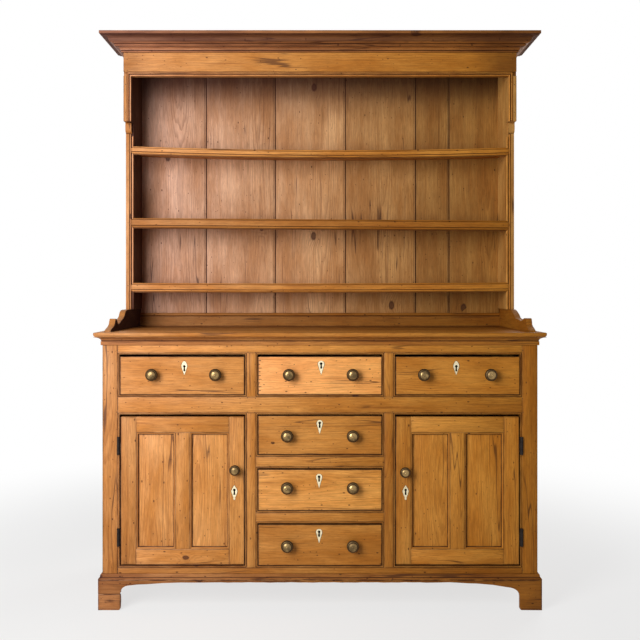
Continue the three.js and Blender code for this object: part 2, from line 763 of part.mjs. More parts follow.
// A door in the group of its hinge axis: a frame with a muntin, and a panel board in a rebate behind it
function makeDoor(side) {
  const name = side < 0 ? 'left' : 'right';
  const lockEdge = -side * (hingeAxis - openingInner - doorLockGap);
  const [x0, x1] = ordered(-side * (hingeSetIn + doorHingeGap), lockEdge);
  const middle = (x0 + x1) / 2;
  const [panelFoot, panelHead] = [doorFoot + doorBottomRail, doorHead - doorTopRail];
  const knobX = lockEdge + side * doorKnobFromEdge;
  const knobZ = doorHead - (side < 0 ? leftDoorKnobDrop : rightDoorKnobDrop);

  const back = hingeProud + doorThickness;
  const blank = board(x0, x1, hingeProud, back, doorFoot, doorHead);
  const lights = [[x0 + doorStile, middle - doorMuntin / 2], [middle + doorMuntin / 2, x1 - doorStile]];
  const cuts = lights.map(([from, to]) => board(from, to, 0, back + overrun, panelFoot, panelHead));
  cuts.push(stemBore(knobX, knobZ, hingeProud, back));
  const recess = hingeProud + panelRecess;
  const [r0, r1] = [x0 + doorStile - panelRebate, x1 - doorStile + panelRebate];
  const [rFoot, rHead] = [panelFoot - panelRebate, panelHead + panelRebate];
  cuts.push(board(r0, r1, recess, back + overrun, rFoot, rHead));
  const panel = board(r0 + panelFit, r1 - panelFit, recess + panelFit, recess + panelFit + panelThickness,
    rFoot + panelFit, rHead - panelFit);
  return at(side * hingeAxis, -hingeProud, 0,
    part('door_' + name + '_frame', cut(blank, ...cuts), pine),
    part('door_' + name + '_panel', panel, pine),
    makeKnob('knob_door_' + name, knobX, hingeProud, knobZ, doorKnobRadius, doorThickness));
}

const dresser = at(0, frontReach - overallDepth / 2, 0, makeBase(), makeGallery(), makeRack());
for (const spec of drawers) dresser.add(makeDrawer(spec));
for (const side of [-1, 1]) {
  dresser.add(makeDoor(side), makeHinge(side, upperHinge, 'upper'), makeHinge(side, lowerHinge, 'lower'));
}

export default dresser;
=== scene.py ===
# %% [markdown]
# # A welsh dresser in waxed pine
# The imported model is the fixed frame: it says where every board, drawer, door and hinge is. This file dresses
# it. Each node that shows is replaced by boards with their own grain, softened edges and mouldings, and the
# plain nodes that are right already only get a finish.

# %% Load the frame
import functools
import json
import math

import bmesh
import bpy
from mathutils import Matrix, Vector

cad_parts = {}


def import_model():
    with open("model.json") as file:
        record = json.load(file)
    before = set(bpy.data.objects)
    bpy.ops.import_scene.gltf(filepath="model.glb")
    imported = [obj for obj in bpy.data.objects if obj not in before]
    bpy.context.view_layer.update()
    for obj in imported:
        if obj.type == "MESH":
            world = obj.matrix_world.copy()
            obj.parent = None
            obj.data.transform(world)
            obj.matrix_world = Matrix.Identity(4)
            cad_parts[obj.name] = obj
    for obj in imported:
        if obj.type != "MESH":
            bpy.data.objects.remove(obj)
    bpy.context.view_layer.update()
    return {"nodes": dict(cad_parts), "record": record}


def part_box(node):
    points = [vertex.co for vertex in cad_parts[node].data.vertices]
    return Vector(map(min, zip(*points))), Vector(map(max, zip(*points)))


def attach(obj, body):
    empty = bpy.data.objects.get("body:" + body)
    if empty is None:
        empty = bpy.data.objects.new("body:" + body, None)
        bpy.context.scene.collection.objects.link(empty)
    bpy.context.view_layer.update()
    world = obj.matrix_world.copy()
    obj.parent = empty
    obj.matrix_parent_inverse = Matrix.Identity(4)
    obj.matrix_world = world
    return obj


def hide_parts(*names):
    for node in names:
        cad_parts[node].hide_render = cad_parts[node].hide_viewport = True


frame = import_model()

# %% [markdown]
# ## Working on the bench, in millimetres
# A joiner measures a carcass from its front face, so the pieces are made in bench millimetres: x across the
# front, d for the depth behind the base's face, and z up from the floor. One matrix turns the bench into the
# frame's metres when a piece is finished. Sizes come from the frame's boxes where a node has them.

# %% The bench
MM = 0.001
face_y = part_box("base_face_frame")[0].y
to_frame = Matrix.Translation((0, face_y, 0)) @ Matrix.Scale(MM, 4)
to_bench = to_frame.inverted()


def span(node):
    """Lowest and highest corner of a CAD node on the bench."""
    low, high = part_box(node)
    return to_bench @ low, to_bench @ high


frame_high = span("base_face_frame")[1]
half_base = frame_high.x
frame_thick = frame_high.y
base_back = span("worktop")[1].y
worktop_low, worktop_high = span("worktop")
print("half base", round(half_base, 1), "worktop at", round(worktop_high.z, 1))

# %% [markdown]
# ## Grain that follows each board
# Pine shows its growth rings along a board, and the next board starts a new pattern. So every board carries
# three attributes: `place`, its own coordinates with the grain first, the face second and the thickness last;
# `reach`, its half sizes in the same order; and `board`, a number that seeds its pattern. One material then
# serves every board, whichever way it lies. Two more marks: `tone` makes a whole board lighter or darker, in
# a few boards as painted light or shade, and a dark mark darkens single corners: partly where old wax and dust
# gather, and partly as painted shade in quirks, hollows and faces turned from the light.

# %% Boards and their grain
AXES = "xdz"
board_count = 0


def lay_grain(bm, along, tone=0.0):
    """Marks every corner of a board with its place in the board."""
    global board_count
    board_count += 1
    low = Vector(min(v.co[i] for v in bm.verts) for i in range(3))
    high = Vector(max(v.co[i] for v in bm.verts) for i in range(3))
    middle, half = (low + high) / 2, (high - low) / 2
    first = AXES.index(along)
    others = sorted((i for i in range(3) if i != first), key=lambda i: -half[i])
    order = (first, *others)
    vectors, floats = bm.verts.layers.float_vector, bm.verts.layers.float
    place, reach = (vectors.get(name) or vectors.new(name) for name in ("place", "reach"))
    number, shade, _ = (floats.get(name) or floats.new(name) for name in ("board", "tone", "grime_and_shade"))
    for v in bm.verts:
        v[place] = [(v.co[i] - middle[i]) * MM for i in order]
        v[reach] = [half[i] * MM for i in order]
        v[number] = board_count
        v[shade] = tone
    return bm


def soften(bm, edges, width, segments=2):
    """Takes the arris off some edges, as use and sandpaper do."""
    if width:
        bmesh.ops.bevel(bm, geom=edges, offset=width, offset_type="OFFSET", segments=segments, profile=0.5,
                        affect="EDGES", clamp_overlap=True, material=-1)


def block(low, high, along, soft=0.8, tone=0.0):
    """A sawn board between two corners."""
    low, high = Vector(low), Vector(high)
    bm = bmesh.new()
    bmesh.ops.create_cube(bm, size=1)
    bmesh.ops.scale(bm, vec=high - low, verts=bm.verts)
    bmesh.ops.translate(bm, vec=(low + high) / 2, verts=bm.verts)
    soften(bm, bm.edges[:], soft)
    return lay_grain(bm, along, tone)


def ordered(a, b):
    return (a, b) if a < b else (b, a)


def side_block(side, x0, x1, d0, d1, z0, z1, along, soft=0.8, tone=0.0):
    """A board given by its places on the right half, put on either side."""
    left, right = ordered(side * x0, side * x1)
    return block((left, d0, z0), (right, d1, z1), along, soft, tone)


def both_sides(make):
    """Calls make for the left and for the right side, and gathers what it makes."""
    return [bm for side in (-1, 1) for bm in make(side)]


print("bench axes", ", ".join(AXES))


# %% [markdown]
# ## Outlines, saw cuts, grime and painted shade
# Most boards are an outline pushed along one axis, as if cut from a sheet. A point may name its darkness as a
# third number: grime, or painted shade in a quirk or hollow. Blender fades a mark evenly over a face, so one
# dark corner would darken a whole wide board: a cut beside the edge gives the darkness a place to stop.

# %% Outlines, saw cuts, grime and painted shade
HAIR = 1e-4
NEAR = 0.1
PLANES = {
    "xz": lambda u, v, w: (u, w, v),
    "dz": lambda u, v, w: (w, u, v),
    "xd": lambda u, v, w: (u, v, w),
}


def sweep(outline, plane, start, end):
    """An outline drawn in two bench axes, extruded along the third."""
    put = PLANES[plane]
    bm = bmesh.new()
    grime_and_shade = bm.verts.layers.float.new("grime_and_shade")
    ring = []
    for u, v, *dirt_and_shade in outline:
        corner = bm.verts.new(put(u, v, start))
        corner[grime_and_shade] = dirt_and_shade[0] if dirt_and_shade else 0.0
        ring.append(corner)
    grown = bmesh.ops.extrude_face_region(bm, geom=[bm.faces.new(ring)])
    moved = [g for g in grown["geom"] if isinstance(g, bmesh.types.BMVert)]
    bmesh.ops.translate(bm, vec=put(0, 0, end - start), verts=moved)
    bmesh.ops.recalc_face_normals(bm, faces=bm.faces)
    return bm


def cap_edges(bm, plane, *levels):
    """The edges that lie in the end faces of a swept outline."""
    axis = next(i for i, letter in enumerate(AXES) if letter not in plane)
    return [e for e in bm.edges
            if any(all(abs(v.co[axis] - level) < HAIR for v in e.verts) for level in levels)]


def shaped(outline, plane, start, end, along, soft=0.0, tone=0.0):
    """A board sawn to an outline, with softened edges round its two faces."""
    bm = sweep(outline, plane, start, end)
    soften(bm, cap_edges(bm, plane, start, end), soft)
    return lay_grain(bm, along, tone)


def arc(u, v, radius_u, radius_v, start, end, steps=8):
    """Points on part of an ellipse round (u, v), from one angle to another in degrees."""
    turns = [math.radians(start + (end - start) * i / steps) for i in range(steps + 1)]
    return [(u + radius_u * math.cos(t), v + radius_v * math.sin(t)) for t in turns]


def divide(bm, place, square, **options):
    """Cuts a mesh along a plane. Both halves stay, joined at the cut, unless an option clears one."""
    everything = bm.verts[:] + bm.edges[:] + bm.faces[:]
    return bmesh.ops.bisect_plane(bm, geom=everything, dist=HAIR, plane_co=place, plane_no=square, **options)


def cut_plane(bm, corner, away):
    """Saws off what lies past a plane through corner on the side that away points to, and closes the cut."""
    sawn = divide(bm, corner, away, clear_outer=True)
    rim = [g for g in sawn["geom_cut"] if isinstance(g, bmesh.types.BMEdge)]
    bmesh.ops.edgeloop_fill(bm, edges=rim)
    return bm


def soil_and_shade(bm, dark, is_dirty_or_shaded):
    """Puts the dark mark on every corner that the test says yes to: grime, and painted shade where shade falls.
    """
    grime_and_shade = bm.verts.layers.float["grime_and_shade"]
    for v in bm.verts:
        if is_dirty_or_shaded(v.co):
            v[grime_and_shade] = dark
    return bm


def soil_and_shade_rim(bm, along, level, inward, dark=0.9, width=3.2, held=1.3):
    """Darkens a narrow strip along one edge, as grime and as painted shade beside a gap. A cut holds the dark
    to the strip.
    """
    axis = AXES.index(along)
    square = Vector(i == axis for i in range(3))
    divide(bm, square * (level + inward * width), square)
    return soil_and_shade(bm, dark, lambda co: abs(co[axis] - level) < held)


print("points on a quarter turn", len(arc(0, 0, 10, 10, 0, 90)))


# %% [markdown]
# ## Finished pieces
# A piece gathers its boards into one mesh, is turned from bench to frame, rides on its CAD body and names the
# nodes that it stands for. Faces that lie square stay flat and everything else is shaded smooth, with sharp
# edges kept where a moulding has a quirk. Holes are cut with a Boolean, one board at a time and before the
# boards are gathered, because an exact Boolean wants a closed solid that doesn't touch itself. Its result is
# applied, and the faces of the cut take a second finish, by default a dark one that paints the shade in the
# hole.

# %% Finishing a piece
FINISHES = {}
SQUARE = 0.9995
CREASE = math.radians(38)


def add_object(name, data):
    obj = bpy.data.objects.new(name, data)
    bpy.context.scene.collection.objects.link(obj)
    return obj


def gathered(name, parts):
    """Puts bench meshes together in one, which stays on the bench."""
    whole = bmesh.new()
    for bm in parts:
        part = bpy.data.meshes.new(name)
        bm.to_mesh(part)
        bm.free()
        whole.from_mesh(part)
        bpy.data.meshes.remove(part)
    return whole


def bored(bm, holes, along, tone=0.0):
    """Cuts holes out of one board, marks the cut for the second finish and lays the grain again."""
    objects = []
    for name, solid, finish in (("board", bm, 0), ("drill", gathered("drill", holes), 1)):
        for face in solid.faces:
            face.material_index = finish
        mesh = bpy.data.meshes.new(name)
        solid.to_mesh(mesh)
        solid.free()
        for material in (FINISHES["pine"], FINISHES["dark_and_painted_shade"]):
            mesh.materials.append(material)
        objects.append(add_object(name, mesh))
    board, drill = objects
    cut = board.modifiers.new("cut", "BOOLEAN")
    cut.operation = "DIFFERENCE"
    cut.solver = "EXACT"
    cut.object = drill
    depsgraph = bpy.context.evaluated_depsgraph_get()
    evaluated = board.evaluated_get(depsgraph)
    mesh = bpy.data.meshes.new_from_object(evaluated, preserve_all_data_layers=True, depsgraph=depsgraph)
    result = bmesh.new()
    result.from_mesh(mesh)
    for done in (board, drill):
        used = done.data
        bpy.data.objects.remove(done)
        bpy.data.meshes.remove(used)
    bpy.data.meshes.remove(mesh)
    return lay_grain(result, along, tone)


def piece(name, parts, finish, body, stands_for=(), hole_finish="dark_and_painted_shade", slot=None):
    """One finished piece of the dresser."""
    whole = gathered(name, parts)
    bmesh.ops.transform(whole, matrix=to_frame, verts=whole.verts)
    whole.normal_update()
    for face in whole.faces:
        face.smooth = max(abs(c) for c in face.normal) < SQUARE
    open_edges = sum(not e.is_manifold for e in whole.edges)
    if open_edges:
        print("OPEN", name, open_edges)
    has_holes = any(face.material_index for face in whole.faces)
    mesh = bpy.data.meshes.new(name)
    whole.to_mesh(mesh)
    whole.free()
    mesh.materials.append(FINISHES[finish])
    if has_holes:
        mesh.materials.append(FINISHES[hole_finish])
    mesh.set_sharp_from_angle(angle=CREASE)
    obj = add_object(name, mesh)
    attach(obj, body)
    slot or SLOTS[finish]
    if stands_for:
        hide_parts(*stands_for)
    print(name, "has", len(mesh.polygons), "faces and rides on", body)
    return obj


def refinish(node, finish):
    """Gives a CAD node another finish and leaves its mesh alone."""
    materials = frame["nodes"][node].data.materials
    materials.clear()
    materials.append(FINISHES[finish])
    print(node, "gets the finish", finish)


print("faces are flat within", round(math.degrees(math.acos(SQUARE)), 1), "degrees of square")


# %% [markdown]
# ## Wiring shader nodes
# Small functions keep the node trees readable: each adds one node, feeds its sockets with numbers or with
# other sockets, and gives back its output.

# %% Node helpers
class Wiring:
    """Adds nodes to one tree. A node's kind is its type without the word ShaderNode."""

    def __init__(self, tree):
        self.tree = tree

    def node(self, kind, feeds=None, **settings):
        made = self.tree.nodes.new(kind if kind.startswith("NodeGroup") else "ShaderNode" + kind)
        for key, value in settings.items():
            setattr(made, key, value)
        for key, value in (feeds or {}).items():
            self.feed(made.inputs[key], value)
        return made

    def feed(self, socket, value):
        if isinstance(value, bpy.types.NodeSocket):
            self.tree.links.new(value, socket)
        else:
            socket.default_value = value

    def math(self, operation, *values):
        return self.node("Math", dict(enumerate(values)), operation=operation).outputs[0]

    def plus(self, *values):
        return functools.reduce(lambda a, b: self.math("ADD", a, b), values)

    def times(self, *values):
        return functools.reduce(lambda a, b: self.math("MULTIPLY", a, b), values)

    def minus(self, a, b):
        return self.math("SUBTRACT", a, b)

    def line(self, value, slope, start):
        return self.math("MULTIPLY_ADD", value, slope, start)

    def weighted(self, *pairs):
        """The sum of values that are each multiplied by a weight."""
        return self.plus(*(self.times(value, weight) for value, weight in pairs))

    def vector(self, operation, a, b=(0, 0, 0)):
        return self.node("VectorMath", {0: a, 1: b}, operation=operation).outputs[0]

    def split(self, vector):
        return self.node("SeparateXYZ", {0: vector}).outputs

    def combine(self, x, y, z):
        return self.node("CombineXYZ", {0: x, 1: y, 2: z}).outputs[0]

    def smooth(self, value, start, end, low=0.0, high=1.0):
        feeds = {"Value": value, "From Min": start, "From Max": end, "To Min": low, "To Max": high}
        return self.node("MapRange", feeds, interpolation_type="SMOOTHSTEP").outputs["Result"]

    def blend(self, factor, a, b, blend_type="MIX"):
        return self.node("Mix", {0: factor, 6: a, 7: b}, data_type="RGBA", blend_type=blend_type).outputs[2]

    def noise(self, vector, size=1.0, detail=2.0, roughness=0.5):
        """Cloudy noise. size is one scale, or three that stretch the noise along each axis."""
        if isinstance(size, tuple):
            vector, size = self.vector("MULTIPLY", vector, size), 1.0
        feeds = {"Vector": vector, "Scale": size, "Detail": detail, "Roughness": roughness}
        return self.node("TexNoise", feeds).outputs["Fac"]

    def cells(self, vector, size, scale):
        """Distance to the nearest scattered point, and that point's own random numbers."""
        feeds = {"Vector": self.vector("MULTIPLY", vector, size), "Scale": scale}
        made = self.node("TexVoronoi", feeds, voronoi_dimensions="2D")
        return made.outputs["Distance"], self.node("SeparateColor", {0: made.outputs["Color"]}).outputs

    def random(self, value):
        made = self.node("TexWhiteNoise", {"W": value}, noise_dimensions="1D")
        return self.node("SeparateColor", {0: made.outputs["Color"]}).outputs

    def place(self):
        return self.node("TexCoord").outputs["Object"]

    def mark(self, name, output="Fac"):
        return self.node("Attribute", attribute_name=name).outputs[output]

    def relief(self, shader, height, strength, distance):
        bump = self.node("Bump", {"Strength": strength, "Distance": distance, "Height": height})
        self.feed(shader.inputs["Normal"], bump.outputs[0])


def new_group(name, inputs, outputs):
    """An empty node group, its wiring, input sockets and output node. None as an input's value makes it a
    vector, a number a value, and four numbers a colour."""
    tree = bpy.data.node_groups.new(name, "ShaderNodeTree")
    for label, default in inputs.items():
        kind = "Vector" if default is None else "Float" if isinstance(default, float) else "Color"
        socket = tree.interface.new_socket(label, in_out="INPUT", socket_type="NodeSocket" + kind)
        if default is not None:
            socket.default_value = default
    for label in outputs:
        kind = "Color" if label == "Color" else "Float"
        tree.interface.new_socket(label, in_out="OUTPUT", socket_type="NodeSocket" + kind)
    wiring = Wiring(tree)
    return tree, wiring, wiring.node("NodeGroupInput").outputs, wiring.node("NodeGroupOutput")


def linear(red, green, blue):
    """A colour as a screen shows it, from 0 to 255, turned into the linear light that shaders use."""
    def one(c):
        c /= 255
        return c / 12.92 if c <= 0.04045 else ((c + 0.055) / 1.055) ** 2.4
    return one(red), one(green), one(blue), 1.0


print("middle grey in linear light", round(linear(128, 128, 128)[0], 3))


# %% [markdown]
# ## The figure of pine
# A board is a slice of a trunk. So the rings are circles round a pith that lies some way behind the face and
# wanders along the board: where the slice runs level they show as straight lines, and where the pith wanders
# they close into long arches. Knots are scattered cells that bend the rings round them. This was chosen over
# a stretched wave texture because both the face and the edge of a board then show one consistent trunk.

# %% Knots, dents and the trunk
FIGURE_INPUTS = {"Place": None, "Board": 1.0, "Ring Spacing": 0.0046, "Knot Share": 0.2, "Crack Start": 0.57,
                 "Dent Share": 0.3}
MASKS = ("Rings", "Bands", "Streaks", "Fibre", "Pores", "Cracks", "Knot", "Knot Rim", "Dents", "Cloud",
         "Flecks")


def knots(w, here, share):
    """The knots, their dark rims, and how far they push the rings aside."""
    distance, chance = w.cells(here, (0.62, 1, 0), 5.2)
    has_knot = w.math("LESS_THAN", chance[0], share)
    size = w.line(chance[1], 0.035, 0.016)
    ragged = w.line(w.noise(here, (90, 90, 90), 1.0), 0.02, -0.01)
    reach = w.math("DIVIDE", w.plus(distance, ragged), size)
    knot = w.times(w.smooth(reach, 0.8, 1.1, 1.0, 0.0), has_knot)
    rim = w.times(w.smooth(reach, 0.55, 0.9), w.smooth(reach, 1.0, 1.45, 1.0, 0.0), has_knot)
    return knot, rim, w.times(w.smooth(reach, 0.0, 4.5, 0.011, 0.0), has_knot)


def pits(w, here, stretch, scale, spread, start, end, share, depth):
    """Small dark pits that lie scattered over the face."""
    distance, chance = w.cells(here, (stretch, 1, 0), scale)
    pit = w.smooth(w.minus(distance, w.times(chance[1], spread)), start, end, depth, 0.0)
    return w.times(pit, w.math("LESS_THAN", chance[0], share))


def trunk_radius(w, place, far_along, lucky, here):
    """Distance from the pith, which lies behind the face and wanders on its way up the trunk."""
    across, through = w.split(place)[1:]
    side_step = w.noise(w.combine(w.times(far_along, 0.9), lucky[2], lucky[0]), 1.0, 1.0)
    depth_step = w.noise(w.combine(w.times(far_along, 1.3), lucky[0], lucky[1]), 1.0, 1.0)
    u = w.plus(w.minus(across, w.line(lucky[0], 0.16, -0.08)), w.line(side_step, 0.09, -0.045))
    v = w.plus(through, w.line(lucky[1], 0.05, 0.028), w.line(depth_step, 0.07, -0.035))
    ripple = w.line(w.noise(here, (5, 60, 60)), 0.006, -0.003)
    return w.plus(w.math("SQRT", w.plus(w.times(u, u), w.times(v, v))), ripple)


print("masks of the figure", len(MASKS))


# %% Pine figure group
def pine_figure():
    tree, w, given, out = new_group("Pine figure", FIGURE_INPUTS, MASKS)
    lucky = w.random(w.math("ROUND", given["Board"]))
    drift = w.node("VectorMath", {0: w.combine(*lucky[0:3]), "Scale": 40.0}, operation="SCALE")
    here = w.vector("ADD", given["Place"], drift.outputs[0])
    far_along, far_across = w.split(here)[0:2]
    knot, rim, push = knots(w, here, given["Knot Share"])
    radius = w.plus(trunk_radius(w, given["Place"], far_along, lucky, here), push)

    phase = w.math("FRACT", w.math("DIVIDE", radius, given["Ring Spacing"]))
    late = w.times(w.smooth(phase, 0.35, 0.9), w.smooth(phase, 0.93, 1.0, 1.0, 0.0))
    strength = w.noise(w.combine(w.times(radius, 55), w.times(far_along, 1.5), 0.0))
    bands = w.combine(w.times(far_along, 1.1), w.times(radius, 75), w.times(far_across, 9))
    crack_line = w.math("ABSOLUTE", w.minus(w.noise(here, (1.7, 34, 34), 1.0), 0.5))
    crack_patch = w.minus(w.noise(here, (3.5, 15, 15), 1.0), given["Crack Start"])
    dents = pits(w, here, 0.55, 26.0, 0.06, -0.01, 0.014, given["Dent Share"], 1.0)
    specks = pits(w, here, 0.7, 70.0, 0.12, -0.02, 0.05, w.times(given["Dent Share"], 0.3), 0.8)
    found = {
        "Rings": w.times(late, w.smooth(strength, 0.3, 0.7, 0.35, 1.0)),
        "Bands": w.noise(bands, 1.0, 3.0),
        "Streaks": w.smooth(w.noise(here, (2.2, 75, 75)), 0.66, 0.76),
        "Fibre": w.noise(here, (14, 420, 420), 3.0, 0.65),
        "Pores": w.smooth(w.noise(here, (55, 640, 640), 1.0), 0.6, 0.74),
        "Cracks": w.times(w.smooth(crack_line, 0.004, 0.018, 1.0, 0.0), w.smooth(crack_patch, 0.0, 0.09)),
        "Knot": knot,
        "Knot Rim": rim,
        "Dents": w.math("MAXIMUM", dents, specks),
        "Cloud": w.noise(here, (3.4, 11, 11), 4.0, 0.6),
        "Flecks": w.noise(here, (24, 170, 170), 2.0, 0.6),
    }
    for label in MASKS:
        w.feed(out.inputs[label], found[label])
    return tree


figure_group = pine_figure()
print("figure group has", len(figure_group.nodes), "nodes")


# %% [markdown]
# ## Where hands and dirt have been
# Old wax darkens in the joints between boards and is rubbed away on the arrises. Both follow the distance to
# the nearest edge of the board, which `place` and `reach` give without any ray casting: on a face one of the
# three distances is nought, so the middle one of the three is the distance to the arris.

# %% Board edge group
def board_edge():
    tree, w, given, out = new_group("Board edge", {"Place": None, "Reach": None}, ["Distance"])
    gaps = w.split(w.vector("SUBTRACT", given["Reach"], w.vector("ABSOLUTE", given["Place"])))
    low, high = w.math("MINIMUM", gaps[1], gaps[2]), w.math("MAXIMUM", gaps[1], gaps[2])
    w.feed(out.inputs["Distance"], w.math("MAXIMUM", low, w.math("MINIMUM", high, gaps[0])))
    return tree


edge_group = board_edge()
print("edge group has", len(edge_group.nodes), "nodes")


# %% [markdown]
# ## Waxed pine
# The figure and the edges meet here as colour, roughness and height. The colours differ from one finish to
# the next, so they are inputs: honey on the show wood, red brown on the mouldings, duller on the back boards
# and nearly bare inside the drawers. The colour is also painted lighter on the left and darker on the right,
# most in its blue: painted light falloff from the lamp's side, with a painted sheen where it is lit.

# %% Waxed pine group
# Painted light: how far the colour is lifted on the lit left side and lowered on the right.
LIGHT_FALLOFF_AND_SHEEN = 0.12
WAX_INPUTS = {
    **FIGURE_INPUTS, "Reach": None, "Tone": 0.0, "Grime_And_Shade": 0.0, "Painted Light Side": 0.0,
    "Pale": linear(214, 149, 74), "Warm": linear(180, 112, 40), "Late Wood": linear(130, 70, 22),
    "Knot Colour": linear(70, 32, 14), "Dirt And Shade Colour": linear(56, 25, 17),
    "Worn Colour": linear(228, 172, 108),
    "Ring Strength": 0.4, "Dirt": 0.9, "Wear": 0.35, "Variety": 0.12,
}


def waxed_pine(figure, edge):
    tree, w, given, out = new_group("Waxed pine", WAX_INPUTS, ("Color", "Roughness", "Height"))
    mask = w.node("Group", {label: given[label] for label in FIGURE_INPUTS}, node_tree=figure).outputs
    feeds = {label: given[label] for label in ("Place", "Reach")}
    distance = w.node("Group", feeds, node_tree=edge).outputs[0]

    def stained(colour, *stains):
        for label, strength, stain in stains:
            colour = w.blend(w.times(mask[label], strength), colour, given[stain])
        return colour

    colour = w.blend(w.smooth(mask["Cloud"], 0.26, 0.74), given["Pale"], given["Warm"])
    colour = w.blend(w.smooth(mask["Bands"], 0.42, 0.7, 0.0, 0.38), colour, given["Warm"])
    colour = stained(colour, ("Rings", given["Ring Strength"], "Late Wood"), ("Streaks", 0.5, "Late Wood"))
    grey = w.times(w.smooth(mask["Fibre"], 0.3, 0.7, 0.86, 1.1),
                   w.smooth(mask["Flecks"], 0.3, 0.7, 0.91, 1.08))
    colour = w.blend(1.0, colour, w.combine(grey, grey, grey), "MULTIPLY")
    colour = stained(colour, ("Pores", 0.38, "Late Wood"), ("Cracks", 0.7, "Dirt And Shade Colour"),
                     ("Knot", 0.82, "Knot Colour"), ("Knot Rim", 0.6, "Dirt And Shade Colour"),
                     ("Dents", 0.75, "Dirt And Shade Colour"))

    ragged = w.noise(given["Place"], (22, 60, 60), 3.0)
    near = w.smooth(distance, 0.0008, 0.0036, 1.0, 0.0)
    wide = w.smooth(distance, 0.0, 0.011, 0.3, 0.0)
    at_joint = w.times(w.math("MAXIMUM", near, wide), given["Dirt"], w.smooth(ragged, 0.25, 0.65, 0.35, 1.0))
    # The dark mark brings grime and painted shade alike into the colour.
    gathered_dirt_and_shade = w.times(given["Grime_And_Shade"], w.smooth(ragged, 0.2, 0.6, 0.88, 0.98))
    dirt_and_shade = w.math("MAXIMUM", at_joint, gathered_dirt_and_shade)
    colour = w.blend(dirt_and_shade, colour, given["Dirt And Shade Colour"])
    arris = w.smooth(distance, 0.0003, 0.0018, 1.0, 0.0)
    rubbed = w.times(arris, given["Wear"], w.smooth(ragged, 0.56, 0.36))
    colour = w.blend(rubbed, colour, given["Worn Colour"])

    chance = w.random(w.plus(w.math("ROUND", given["Board"]), 0.37))
    change = w.times(w.minus(chance[0], 0.5), given["Variety"])
    level = w.plus(change, given["Tone"], 1.0)
    # Painted light falloff and sheen: lighter and bluer to the left, darker and warmer to the right.
    painted_falloff_and_sheen = w.line(given["Painted Light Side"], LIGHT_FALLOFF_AND_SHEEN, 1.0)
    for value, powers in ((level, (1.0, 1.2, 1.7)), (painted_falloff_and_sheen, (0.9, 1.4, 6.0))):
        depth = [w.math("POWER", value, power) for power in powers]
        colour = w.blend(1.0, colour, w.combine(*depth), "MULTIPLY")

    rough = w.plus(w.smooth(mask["Cloud"], 0.25, 0.75, 0.42, 0.56),
                   w.weighted((mask["Dents"], 0.2), (dirt_and_shade, 0.25), (mask["Knot"], -0.08)))
    height = w.weighted((mask["Fibre"], 0.12), (mask["Rings"], 0.18), (mask["Cloud"], 0.5),
                        (mask["Dents"], -0.9), (mask["Cracks"], -0.7), (dirt_and_shade, -0.2))
    for label, value in (("Color", colour), ("Roughness", rough), ("Height", height)):
        w.feed(out.inputs[label], value)
    return tree


pine_group = waxed_pine(figure_group, edge_group)
print("pine group has", len(pine_group.nodes), "nodes")

# %% [markdown]
# ## The finishes
# A finish is a material: the shared group's colour, roughness and height go to the Principled shader's own
# sockets. Boards made here bring their own coordinates. The few CAD nodes that only get a finish have none,
# so for those a Mapping node turns Object coordinates until the grain comes first.

# %% How a finish is wired
QUARTER = math.pi / 2
SLOTS = {"brass": "brass", "iron": "iron", "bone": "bone"}


def plain_material(name):
    material = bpy.data.materials.new(name)
    material.use_nodes = True
    material.node_tree.nodes.clear()
    w = Wiring(material.node_tree)
    shader = w.node("BsdfPrincipled")
    w.node("OutputMaterial", {"Surface": shader.outputs[0]})
    return material, w, shader


def wood_finish(name, inputs, turned=None):
    """Waxed pine. turned gives the Mapping angles that put the grain first, for a CAD node."""
    material, w, shader = plain_material(name)
    group = w.node("Group", node_tree=pine_group)
    if turned is None:
        for label in ("Place", "Reach", "Board", "Tone", "Grime_And_Shade"):
            output = "Vector" if label in ("Place", "Reach") else "Fac"
            w.feed(group.inputs[label], w.mark(label.lower(), output))
    else:
        w.feed(group.inputs["Place"], w.node("Mapping", {"Vector": w.place(), "Rotation": turned}).outputs[0])
        group.inputs["Reach"].default_value = (9, 9, 9)
    # Which side a point lies on, from 1 on the left to -1 on the right, for the painted light falloff.
    w.feed(group.inputs["Painted Light Side"], w.math("DIVIDE", w.split(w.place())[0], -half_base * MM))
    for label, value in inputs.items():
        group.inputs[label].default_value = linear(*value) if isinstance(value, tuple) else value
    w.feed(shader.inputs["Base Color"], group.outputs["Color"])
    w.feed(shader.inputs["Roughness"], group.outputs["Roughness"])
    shader.inputs["Specular IOR Level"].default_value = 0.16
    w.relief(shader, group.outputs["Height"], 0.35, 0.0012)
    return material


print("window side is counted over", round(half_base), "mm on either side")

# %% Waxes and wood finishes
SHOW_WAX = {"Dent Share": 0.4, "Crack Start": 0.55, "Dirt": 0.5, "Variety": 0.04, "Ring Strength": 0.32}
PALE_WAX = {**SHOW_WAX, "Pale": (250, 182, 108), "Warm": (234, 156, 84), "Late Wood": (172, 102, 46)}
KNOCKED_WAX = {**SHOW_WAX, "Dent Share": 0.95, "Crack Start": 0.46, "Knot Share": 0.55, "Dirt": 0.8}
DARK_WAX = {"Pale": (182, 120, 68), "Warm": (126, 76, 42), "Late Wood": (72, 38, 22),
            "Knot Colour": (36, 18, 15), "Worn Colour": (190, 130, 80), "Dirt": 0.5, "Wear": 0.6,
            "Knot Share": 0.6, "Crack Start": 0.49, "Dent Share": 0.5}
FOOT_WAX = {"Pale": (196, 132, 66), "Warm": (146, 88, 36), "Dirt": 1.0, "Crack Start": 0.44,
            "Dent Share": 0.9, "Wear": 0.5, "Knot Share": 0.45, "Variety": 0.04}
MOULDING_WAX = {"Pale": (196, 132, 66), "Warm": (162, 100, 42), "Late Wood": (112, 60, 24), "Dirt": 0.5,
                "Wear": 0.5}
